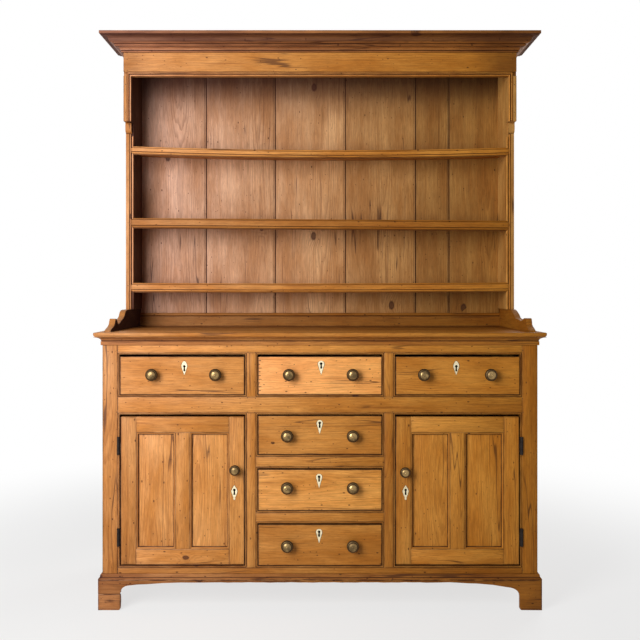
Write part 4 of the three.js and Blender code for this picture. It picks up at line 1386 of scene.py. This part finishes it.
def bay_section():
    """The inner strip, which frames a bay: a deep quirk and a bead on the arris."""
    # Third numbers paint shade into the deep quirk.
    start, quirk_floor, floor, height = 3.7, 5.4, 3.2, 2.6
    return [(0, strip_back), (0, quirk_floor, 1), (start - 0.2, quirk_floor, 1), (start, floor, 0.9),
            *bead(start, bay_width, floor, height, 8), (bay_width, floor), (bay_width, strip_back)]


# The strips' tones paint light and shade: darker on the left side, lighter on the right side's bead.
STRIP_TONES_AND_LIGHT = {(-1, reed_width): -0.4, (-1, bay_width): -0.15, (1, reed_width): -0.12, (1, bay_width): 0.15}
print("points in the reed", len(reed_section()), "and in the bay's bead", len(bay_section()))


# %% Frieze and strips
def upright_strip(side, section, width, front, foot, head, foot_mitred, head_mitred):
    """A strip of moulding up one side, sawn on the mitre where it meets a strip that runs across."""
    spare = bay_width + 8
    plan = [(side * (rack_inner + width - across), front + depth, *g) for across, depth, *g in section]
    bm = sweep(plan, "xd", foot - spare * foot_mitred, head + spare * head_mitred)
    if foot_mitred:
        cut_plane(bm, (side * rack_inner, 0, foot), (-side, 0, -1))
    if head_mitred:
        cut_plane(bm, (side * rack_inner, 0, head), (-side, 0, 1))
    return lay_grain(bm, "z", STRIP_TONES_AND_LIGHT[side, width])


def shelf_level(name, side):
    """Foot and head of a shelf's front edge at one end."""
    low, high = span(f"rack_shelf_{name}")
    lift = SHELF_LIFTS[name][0 if side < 0 else 2]
    return low.z - SHELF_DROPS[name] + lift, high.z + lift


def side_strips(side):
    """Every strip on one side: the two of the upper front, the long reed and one bead for each bay. The left
    side has none in its bottom bay.
    """
    bottom, middle, top = (shelf_level(name, side) for name in ("bottom", "middle", "top"))
    reed, bay = (reed_section(), reed_width), (bay_section(), bay_width)
    runs = [
        (reed, upper_front, step_top, frieze_low.z, False, True),
        (bay, upper_front, step_top, frieze_low.z, False, True),
        (reed, rack_front, rack_low.z, step_foot, False, False),
        (bay, rack_front, bottom[1], middle[0], True, True),
        (bay, rack_front, middle[1], top[0], True, True),
        (bay, rack_front, top[1], step_foot - short_of_step, True, False),
    ]
    if side > 0:
        runs.append((bay, rack_front, rack_low.z, bottom[0], False, True))
    return [upright_strip(side, *strip, *run) for strip, *run in runs]


def frieze_strips():
    strips = []
    for section, head in ((reed_section(), reed_width), (bay_section(), bay_width)):
        outline = [(upper_front + depth, frieze_low.z + head - across, *g) for across, depth, *g in section]
        past = rack_inner + reed_width + 1
        bm = sweep(outline, "dz", -past, past)
        for side in (-1, 1):
            cut_plane(bm, (side * rack_inner, 0, frieze_low.z), (side, 0, -1))
        strips.append(lay_grain(bm, "x", -0.3 if head == reed_width else -0.16))
    return strips


def frieze_board():
    """The board over the opening. Both its ends are darkened; the darker right end is painted shade where the
    light falls off.
    """
    back, head = frieze_high.y, frieze_low.z + reed_width
    outline = [(upper_front, head), (upper_front, frieze_high.z), (back, frieze_high.z), (back, frieze_low.z),
               (upper_front + reed_sink, frieze_low.z), (upper_front + reed_sink, head)]
    bm = shaped(outline, "dz", -rack_outer, rack_outer, "x", 0, -0.05)
    # Darker ends: on the right this is painted shade.
    for side, insets, dark in ((-1, (40, 110), 0.26), (1, (60, 170), 0.5)):
        for inset in insets:
            divide(bm, (side * (rack_outer - inset), 0, 0), (side, 0, 0))
        soil_and_shade(bm, dark, lambda co: side * co.x > rack_outer - 70)
    return bm


piece("frieze_board", [frieze_board()], "pine", "carcass", ["rack_frieze"])
piece("rack_reeds", frieze_strips() + both_sides(side_strips), "pale_pine", "carcass")

# %% [markdown]
# ## Shelves
# A shelf is a board let into the sides with a deeper edging in front: a bead, a flat band and a bead. The
# edging's ends are pointed, because its beads meet those of the sides on the mitre. Years of plates have bent
# each shelf and tilted it a little, so the boards are divided along their length and follow a parabola.

# %% Shelves
edging_depth = 14


def shelf_edge(foot, head):
    """The edging's section: a bead, a flat band and a bead. (depth, height, darkness: painted shade in the
    quirks)
    """
    front = rack_front
    quirk = front + 3.6
    return [(front + edging_depth, foot), (front + edging_depth, head), (front + 3.2, head),
            *swell(front + 3.2, -2.8, head, -5, 7),
            (front + 3.4, head - 5, 0.7), (front + 3.4, head - 6.3, 0.5), (front + 0.5, head - 6.9),
            (front, head - 12), (front + 0.4, foot + 12.8), (quirk, foot + 12.4, 0.85),
            (quirk, foot + 10.8, 0.85), *swell(front + 3.2, -2.8, foot + 10.6, -6.6, 7),
            (quirk, foot + 3.6, 0.9), (front + 3.0, foot + 2, 0.5), (front + 4.2, foot, 1)]


def bent(bm, lifts):
    """Divides the long edges of a shelf, then lifts or lowers its left end, middle and right end."""
    left, middle, right = lifts
    long_edges = [e for e in bm.edges if abs(e.verts[0].co.x - e.verts[1].co.x) > rack_inner]
    bmesh.ops.subdivide_edges(bm, edges=long_edges, cuts=15)
    for v in bm.verts:
        share = max(-1.0, min(1.0, v.co.x / rack_inner))
        v.co.z += middle + (right - left) / 2 * share + ((right + left) / 2 - middle) * share * share
    return bm


def shelf(name, tone):
    low, high = span(f"rack_shelf_{name}")
    low.z -= SHELF_DROPS[name]
    end = rack_inner + bay_width
    edging = sweep(shelf_edge(low.z, high.z), "dz", -end, end)
    for side in (-1, 1):
        cut_plane(edging, (side * rack_inner, 0, high.z), (side, 0, 1))
        cut_plane(edging, (side * rack_inner, 0, low.z), (side, 0, -1))
    thickness, housing, let_in = 16, 8, 0.3
    broad = block((-rack_inner - housing, rack_front + edging_depth, high.z - thickness),
                  (rack_inner + housing, high.y, high.z), "x", let_in, tone - 0.08)
    lifts = SHELF_LIFTS[name]
    return [lay_grain(bent(edging, lifts), "x", tone), bent(broad, lifts)]


for name, tone in (("bottom", 0.03), ("middle", -0.25), ("top", 0.04)):
    piece(f"{name}_shelf", shelf(name, tone), "pine", "carcass", [f"rack_shelf_{name}"])

# %% [markdown]
# ## Cornice
# From the frieze up: a small bead, a hollow, a larger bead, a long double curve and a flat fillet. The
# section is drawn once and run round three sides, in a darker and redder wax.

# %% Cornice
cornice_low, cornice_high = span("rack_cornice")
cornice_reach = cornice_high.x - rack_outer


def cornice_section():
    # Third numbers paint shade into the quirks, and the upper hollow gets painted shade under the overhang.
    foot, head = cornice_low.z + 6, cornice_high.z
    section = [(0, foot, 1), (4.5, foot, 0.6), *swell(4.5, 3.5, foot, 5.6)]
    section += [(5.5, foot + 5.6, 1), (7, foot + 7, 1), (9.5, foot + 7.4)]
    grow(section, 12, 8, False, 6)
    section += [(21.5, foot + 17, 1), (22.5, foot + 17, 1), *swell(22.5, 6, foot + 17, 7)]
    section += [(26, foot + 24.2, 1), (28, foot + 25.6, 0.6)]
    grow(section, 16, 10, True, 7)
    grow(section, 18, 11.5, False, 7)
    section += [(cornice_reach - 6, foot + 48, 1), (cornice_reach - 5, foot + 49.4, 0.8),
                (cornice_reach, foot + 50, 0.16), (cornice_reach, head, 0.16), (0, head)]
    hollow_from, hollow_to, hollow_shade = foot + 29, foot + 48, 0.66
    return [(p, z, max([hollow_shade if hollow_from < z < hollow_to else 0, *dirt_and_shade])) for p, z, *dirt_and_shade in section]


cornice = moulding(cornice_section(), rack_outer, upper_front, base_back, -0.06)
piece("cornice", cornice, "dark_pine", "carcass", ["rack_cornice"])
low, high = span("rack_top_board")
width = (high.y - low.y) / 2
top_boards = [block((low.x, low.y + i * width, low.z), (high.x, low.y + (i + 1) * width, high.z), "x", 0.6,
                    -0.1 - 0.04 * i) for i in range(2)]
piece("top_boards", top_boards, "back_pine", "carcass", ["rack_top_board"])

# %% [markdown]
# ## Keyhole plates
# Each drawer and door has a plate of bone and a keyhole through it. Drawer plates are drops with a round head
# and a point below, and the two at the ends of the top row are pointed at both ends. The plate is a flat
# outline with the keyhole sawn out, and the same keyhole is sawn on into the wood behind it.

# %% Plates and keyholes
plate_proud = 0.35
key_depth = 13


def keyhole(x, z):
    """Outline of a keyhole: a round head, a waist and a flared foot with a round end."""
    head, foot, waist, drop = 4.5, 3.4, 2.3, 5.5
    return [*arc(x, z, head, head, -58, 238, 14), (x - waist, z - drop),
            *arc(x, z - 14, foot, foot, 190, 350, 6), (x + waist, z - drop)]


def drop_plate(x, z, width, height):
    """A drop: a round head and straight sides that meet in a point. (x, z) is the middle of its head."""
    radius = width / 2
    tip = z + radius - height
    lean = math.degrees(math.asin(radius / (z - tip)))
    return arc(x, z, radius, radius, -lean, 180 + lean, 18) + [(x, tip)]


def lozenge_plate(x, z, width, height):
    """A plate pointed at both ends, with full sides. (x, z) is the middle of its widest line."""
    radius, up, down = width / 2, height * 0.38, height * 0.62
    bulge, lower_bulge = 0.62, 0.15
    steps = [i / 6 for i in range(1, 7)]
    half = [(radius * (t + bulge * t * (1 - t)), z + up * (1 - t) * (1 + bulge * t)) for t in steps]
    half += [(radius * (1 - t) * (1 + lower_bulge * t), z - down * t) for t in steps[:-1]]
    left, right = ([(x + side * u, v) for u, v in half] for side in (-1, 1))
    return [(x, z + up), *left, (x, z - down), *reversed(right)]


def blunt_plate(x, z, width, height):
    """A door's plate: pointed above, with a small rounded foot below."""
    radius, up, down, foot = width / 2, height * 0.4, height * 0.6, 3.2
    left = [(x, z + up), (x - radius * 0.62, z + up * 0.52), (x - radius, z),
            (x - radius * 0.86, z - down * 0.2), (x - foot, z - down * 0.74), (x - foot, z - down + foot)]
    right = [(2 * x - u, v) for u, v in reversed(left[1:])]
    return left + arc(x, z - down + foot, foot, foot, 180, 360, 6)[1:-1] + right


def plate_piece(name, outline, hole, front, body):
    """The bone plate, a little proud of the wood, in a dark bed that shows as a line round it."""
    bed_line = 1.3
    centre = [sum(point[i] for point in outline) / len(outline) for i in (0, 1)]
    spread = [max(abs(point[i] - centre[i]) for point in outline) for i in (0, 1)]
    bed_outline = [[centre[i] + (point[i] - centre[i]) * (1 + bed_line / spread[i]) for i in (0, 1)]
                   for point in outline]
    plate = sweep(outline, "xz", front - plate_proud, front + 1.2)
    soften(plate, cap_edges(plate, "xz", front - plate_proud), 0.25, 1)
    bed = sweep(bed_outline, "xz", front - 0.08, front + 0.6)
    bed, plate = (bored(bm, [sweep(hole, "xz", front - 3, front + 3)], "z") for bm in (bed, plate))
    for face in bed.faces:
        face.material_index = 1
    return piece(name, [plate, bed], "bone", body)


# %% [markdown]
# ## Drawers
# A drawer is a front with a dovetailed box behind it. The box's sides, back and bottom are boards of their
# own, with the tails sawn into the sides at both ends, and a knob stands at each third of the front.

# %% Drawer fronts
DRAWER_LOOKS = {
    "top_left": (-0.02, lozenge_plate, 20, 7), "top_centre": (0.0, drop_plate, 22, 4),
    "top_right": (0.06, lozenge_plate, 20, -5), "second": (-0.07, drop_plate, 21, -1),
    "third": (0.26, drop_plate, 21, -3), "fourth": (-0.1, drop_plate, 21, -3),
}
PLATE_HEIGHT = 48
PLATE_LEVELS = {drop_plate: (24, 1), lozenge_plate: (32, 0)}
wall = 12


def dovetail_ticks(low, high):
    """Nine saw kerfs at the left end of the middle drawer, where its joints run through to the face. Each is
    a thin dark slab on the face, which paints the shade of a narrow cut.
    """
    count, length, thickness = 9, 11, 2
    pitch = (high.z - low.z - 14) / count
    parts = []
    for i in range(count):
        z = low.z + 7 + pitch * (i + 0.5)
        reach = length * (0.75 + 0.25 * math.sin(2.4 * i))
        kerf = block((low.x + 1, low.y - 0.06, z), (low.x + 1 + reach, low.y + 1, z + thickness), "x", 0)
        for face in kerf.faces:
            face.material_index = 1
        parts.append(kerf)
    return parts


def drawer_front(name):
    low, high = FRONTS[name]
    tone, plate, width, shift = DRAWER_LOOKS[name]
    below, key_lift = PLATE_LEVELS[plate]
    x, z = (low.x + high.x) / 2 + shift, high.z - below
    hole = keyhole(x, z + key_lift)
    body = f"drawer_{name}"
    front = bored(block(low, high, "x", 1.2), [sweep(hole, "xz", low.y - 2, low.y + key_depth)], "x", tone)
    # The rims along the gaps are darkened, partly grime and partly painted shade in the gap.
    soil_and_shade(front, 0.9, lambda co: abs(co.z - high.z) < NEAR)
    for axis, level, inward in (("z", low.z, 1), ("x", low.x, 1), ("x", high.x, -1)):
        soil_and_shade_rim(front, axis, level, inward)
    at_middle = name == "top_centre"
    ticks = dovetail_ticks(low, high) if at_middle else []
    finish = "pale_pine" if at_middle else "pine"
    piece(f"front_{name}", [front] + ticks, finish, body, [f"drawer_{name}_front"])
    plate_piece(f"plate_{name}", plate(x, z, width, PLATE_HEIGHT), hole, low.y, body)


for name in DRAWERS:
    print(name, "front is", round(FRONTS[name][1].x - FRONTS[name][0].x), "mm wide")


# %% Drawer boxes
def tails(x0, x1, d0, length, z0, z1, count):
    """The dark outlines of dovetails on a drawer's side: thin wedges of end grain from the front's pins."""
    parts = []
    pitch = (z1 - z0) / count
    for i in range(count):
        middle = z0 + pitch * (i + 0.5)
        narrow, broad = pitch * 0.1, pitch * 0.2
        outline = [(d0, middle - broad), (d0 + length, middle - narrow), (d0 + length, middle + narrow),
                   (d0, middle + broad)]
        bm = sweep(outline, "dz", x0, x1)
        parts.append(lay_grain(bm, "x", -0.25))
    return parts


def drawer_box(name):
    low, high = span(f"drawer_{name}_box")
    front = FRONTS[name][1].y
    bottom_foot, bottom_head = low.z + 5.7, low.z + 13.7
    proud = 0.12
    parts = []
    for side in (-1, 1):
        edge = low.x if side < 0 else high.x
        inner = edge - side * wall
        x0, x1 = ordered(edge, inner)
        parts.append(block((x0, front, low.z), (x1, high.y, high.z), "d", 0.8))
        skin = ordered(edge, edge + side * proud)
        parts += tails(*skin, front + 0.2, wall, low.z, high.z, 4)
        parts += tails(*skin, high.y - 0.2, -wall, low.z, high.z, 4)
    parts.append(block((low.x + wall, high.y - wall, bottom_head), (high.x - wall, high.y, high.z - 2),
                       "x", 0.6))
    half = (low.x + high.x) / 2
    parts.append(block((low.x + wall, front, bottom_foot), (half, high.y, bottom_head), "d", 0.3, 0.02))
    parts.append(block((half, front, bottom_foot), (high.x - wall, high.y, bottom_head), "d", 0.3, -0.03))
    piece(f"box_{name}", parts, "raw_pine", f"drawer_{name}", [f"drawer_{name}_box"])


for name in DRAWERS:
    drawer_front(name)
    drawer_box(name)

# %% [markdown]
# ## Doors
# Stiles, rails and a muntin frame two panels. A small ovolo with a quirk runs round each panel, mitred at its
# corners, and throws the two fine lines that show in the light. Behind it the panels are thin upright boards.

# %% Doors
door_stile, door_top_rail, door_bottom_rail, door_muntin = 52, 53, 51, 49
ovolo = 6.5
key_from_middle, key_level = 176, 400
panel_tones = {-1: (0.02, 0.04), 1: (0.08, 0.14)}


def panel_moulding(opening, front):
    """The ovolo and quirk round one panel."""
    # Third numbers paint shade into the quirk and the fine lines.
    section = [(0, 9.4), (0, 1.4, 0.9), (1.2, 1.9, 0.9), (1.5, 0.8, 0.2)]
    grow(section, ovolo - 2.1, 5.2, True, 6)
    section += [(ovolo - 0.5, 8.2, 1), (ovolo + 1.9, 9.2, 1), (ovolo + 1.9, 9.4, 1)]
    return round_opening(section, opening, 1, -0.02, front)


def door(side, name):
    low, high = span(f"door_{name}_frame")
    body = f"door_{name}"
    middle = (low.x + high.x) / 2
    foot, head = low.z + door_bottom_rail, high.z - door_top_rail
    left, right = low.x + door_stile, high.x - door_stile
    lights = [(left, middle - door_muntin / 2), (middle + door_muntin / 2, right)]
    tone = -0.03 if side < 0 else 0.02

    def member(x0, x1, z0, z1, along, soft, shade):
        return block((x0, low.y, z0), (x1, high.y, z1), along, soft, tone + shade)

    key_x = middle - side * key_from_middle
    outline = blunt_plate(key_x, key_level, 21, 50)
    hole = keyhole(key_x, key_level + 4)
    stiles = {-1: member(low.x, left, low.z, high.z, "z", 0.9, -0.12),
              1: member(right, high.x, low.z, high.z, "z", 0.9, -0.02)}
    stiles[-side] = bored(stiles[-side], [sweep(hole, "xz", low.y - 2, low.y + key_depth)], "z", tone)
    # The outer edges of both stiles are darkened along the gaps, partly grime and partly painted shade.
    soil_and_shade_rim(stiles[-1], "x", low.x, 1)
    soil_and_shade_rim(stiles[1], "x", high.x, -1)
    parts = [
        *stiles.values(),
        member(left, right, low.z, foot, "x", 0.7, 0.1),
        member(left, right, head, high.z, "x", 0.7, 0),
        member(lights[0][1], lights[1][0], foot, head, "z", 0.7, -0.02),
    ]
    for light in lights:
        parts += panel_moulding((*light, foot, head), low.y)
    piece(f"door_frame_{name}", parts, "pine", body, [f"door_{name}_frame"])
    plate_piece(f"plate_door_{name}", outline, hole, low.y, body)

    panel_low, panel_high = span(f"door_{name}_panel")
    edges = (panel_low.x, middle, panel_high.x)
    panels = [block((x0, panel_low.y, panel_low.z), (x1, panel_high.y, panel_high.z), "z", 0.3, shade)
              for x0, x1, shade in zip(edges, edges[1:], panel_tones[side])]
    piece(f"panels_{name}", panels, "pine", body, [f"door_{name}_panel"])


door(-1, "left")
door(1, "right")

# %% [markdown]
# ## Knobs
# A knob is one turning: a flared foot, a neck, a full rim and a domed head with a raised disc and a small
# nub. Its profile is drawn once and spun round the knob's axis. The CAD's box gives each one its place.

# %% Knobs
KNOB_LENGTH = 38 / 21
KNOB_PROFILE = ((0.6, 0.0), (0.62, 0.035), (0.58, 0.06), (0.44, 0.09), (0.36, 0.14), (0.35, 0.22),
                (0.4, 0.28), (0.6, 0.335), (0.84, 0.4), (0.95, 0.46), (1.0, 0.53), (0.985, 0.6),
                (0.93, 0.67), (0.84, 0.73), (0.76, 0.765), (0.71, 0.775), (0.7, 0.8), (0.69, 0.83),
                (0.6, 0.875), (0.45, 0.915), (0.28, 0.94), (0.16, 0.945), (0.14, 0.965), (0.09, 0.99),
                (0.0, 1.0))
# How dark each band of the turning is: patina in the groove and neck, and round the rim partly a painted
# reflection.
PATINA_AND_REFLECTION = ((0.62, 1.0), (0.69, 0.95), (0.75, 0.65), (0.81, 1.0), (0.84, 0.5), (0.9, 0.2), (1.01, 0.0))


def knob(node, body):
    """Spins the profile, which is (share of the radius, share of the length from the drawer)."""
    low, high = span(node)
    radius = (high.x - low.x) / 2
    x, z = (low.x + high.x) / 2, (low.z + high.z) / 2
    front, reach, stem = low.y, radius * KNOB_LENGTH, 3
    bm = bmesh.new()
    points = [(0, high.y), (stem, high.y), (stem, front + reach)]
    points += [(r * radius, front + reach * (1 - t)) for r, t in KNOB_PROFILE]
    verts = [bm.verts.new((x + r, d, z)) for r, d in points]
    edges = [bm.edges.new(pair) for pair in zip(verts, verts[1:])]
    bmesh.ops.spin(bm, geom=verts + edges, cent=(x, 0, z), axis=(0, 1, 0), dvec=(0, 0, 0), angle=2 * math.pi,
                   steps=40, use_merge=True)
    bmesh.ops.remove_doubles(bm, verts=bm.verts, dist=1e-4)
    bmesh.ops.recalc_face_normals(bm, faces=bm.faces)
    grime_and_shade = bm.verts.layers.float.new("grime_and_shade")
    for v in bm.verts:
        out = 1 - (v.co.y - front) / reach
        v[grime_and_shade] = next(dark for level, dark in PATINA_AND_REFLECTION if out < level)
    obj = piece("turned_" + node, [bm], "brass", body, [node])
    obj.data.polygons.foreach_set("use_smooth", [True] * len(obj.data.polygons))


knob_bodies = {n: b for b, nodes in frame["record"]["behaviour"]["bodies"].items() for n in nodes}
for node in sorted(frame["nodes"]):
    if node.startswith("knob_"):
        knob(node, knob_bodies[node])

# %% [markdown]
# ## Hinges and nails
# The butt hinges are right as they are and only get their iron. Cut nails pin the rack's sides and the face
# frame's joints. Each is a small rose head, a few sides only, pressed a little into the wood.

# %% Hinges and nails
for node in frame["nodes"]:
    if node.startswith("hinge_"):
        refinish(node, "iron")


def nail(x, front, z):
    radius = 2.3
    bm = bmesh.new()
    bmesh.ops.create_cone(bm, cap_ends=True, segments=9, radius1=radius, radius2=radius * 0.6, depth=1.2)
    bmesh.ops.rotate(bm, verts=bm.verts, cent=(0, 0, 0), matrix=Matrix.Rotation(QUARTER, 3, "X"))
    bmesh.ops.translate(bm, vec=(x, front + 0.4, z), verts=bm.verts)
    return bm


def nails():
    """A place is (distance from the middle line, depth of the face, height)."""
    places = [(721, upper_front, z) for z in (1969, 1946, 1904)]
    places += [(727, upper_front, z) for z in (1852, 1748)]
    places += [(727, rack_front, z) for z in (1610, 1500, 1338, 1220, 1100)]
    places += [(x, 0, z) for x, z in (
        (opening_outer + 8, top_head + 14), (opening_outer + 7, top_row - 12),
        (opening_outer + 9, middle_rail_under + 8), (opening_outer + 8, bottom_rail_top - 14),
        (opening_inner - 9, top_row - 9), (half_centre + 8, top_row - 11),
        (opening_inner - 8, middle_rail_under + 9), (half_centre + 9, middle_rail_under + 8),
        (opening_inner - 10, top_head + 8), (half_centre + 7, top_head + 7))]
    return [nail(side * x, front, z) for side in (-1, 1) for x, front, z in places]


piece("cut_nails", nails(), "dark_and_painted_shade", "carcass", slot="iron")

# %% [markdown]
# ## Floor, light and camera
# A pale floor takes a soft shadow. One large lamp stands to the upper left, as the daylight does in the
# photograph, and a weaker one behind keeps the back and the far side readable but gives no glints. Rays that
# go straight from the camera to floor or sky see white. The camera stands square to the front on the middle
# line, and its small shift keeps uprights upright.

# %% Floor and world
def seen_directly(w):
    """1 for the rays that show the surroundings, 0 for those that only carry light."""
    path = w.node("LightPath").outputs
    bounced = w.math("MAXIMUM", path["Is Glossy Ray"], path["Is Transmission Ray"])
    return w.math("MAXIMUM", path["Is Camera Ray"], bounced)


floor_sink = 0.0005


def floor():
    bm = bmesh.new()
    bmesh.ops.create_grid(bm, x_segments=4, y_segments=4, size=9.0)
    mesh = bpy.data.meshes.new("floor")
    bm.to_mesh(mesh)
    bm.free()
    obj = add_object("floor", mesh)
    material, w, shader = dull_finish("pale floor", (214, 213, 211), (206, 205, 203), 3.0)
    distance = w.node("VectorMath", {0: w.place()}, operation="LENGTH").outputs["Value"]
    white = w.node("Emission", {"Color": (1, 1, 1, 1), "Strength": 1.0})
    share = w.times(seen_directly(w), w.smooth(distance, 1.0, 2.6, 0.7, 1.0))
    both = w.node("MixShader", {0: share, 1: shader.outputs[0], 2: white.outputs[0]})
    surface = next(n for n in material.node_tree.nodes if n.type == "OUTPUT_MATERIAL").inputs["Surface"]
    w.feed(surface, both.outputs[0])
    mesh.materials.append(material)
    obj.location.z = -floor_sink


def world(ambient):
    sky = bpy.data.worlds.new("studio")
    bpy.context.scene.world = sky
    sky.use_nodes = True
    sky.node_tree.nodes.clear()
    w = Wiring(sky.node_tree)
    strength = w.smooth(seen_directly(w), 0.0, 1.0, ambient, 1.0)
    background = w.node("Background", {"Color": (1, 1, 1, 1), "Strength": strength})
    w.node("OutputWorld", {"Surface": background.outputs[0]})


def lamp(name, place, target, width, height, power):
    """A large rectangle of light at a place in metres, turned to a target."""
    light = bpy.data.lights.new(name, "AREA")
    light.shape = "RECTANGLE"
    light.size = width
    light.size_y = height
    light.energy = power
    obj = add_object(name, light)
    obj.location = place
    obj.rotation_euler = (Vector(target) - Vector(place)).to_track_quat("-Z", "Y").to_euler()
    return obj


floor()
world(0.09)
lamp("window", (-1.4, -1.95, 1.6), (-0.45, 0, 1.15), 1.2, 1.9, 73)
far_window = lamp("far window", (1.9, 2.4, 1.7), (0.2, 0.25, 1.0), 1.6, 1.9, 55)
far_window.visible_glossy = False
print("lamps:", len(bpy.data.lights))

# %% Camera
photo_side, photo_focal, photo_horizon = 640, 780, 289.5
sensor = 36
stand_off, eye_height = 2.65, 1.085
camera_data = bpy.data.cameras.new("camera")
camera = add_object("camera", camera_data)
camera_data.sensor_width = sensor
camera_data.lens = photo_focal / photo_side * sensor
camera_data.shift_y = (photo_horizon - photo_side / 2) / photo_side
camera.location = (0, face_y - stand_off, eye_height)
camera.rotation_euler = (QUARTER, 0, 0)
bpy.context.scene.camera = camera
bpy.context.scene.view_settings.view_transform = "Standard"
print("camera stands", stand_off, "m off, lens", round(camera_data.lens, 1), "mm")
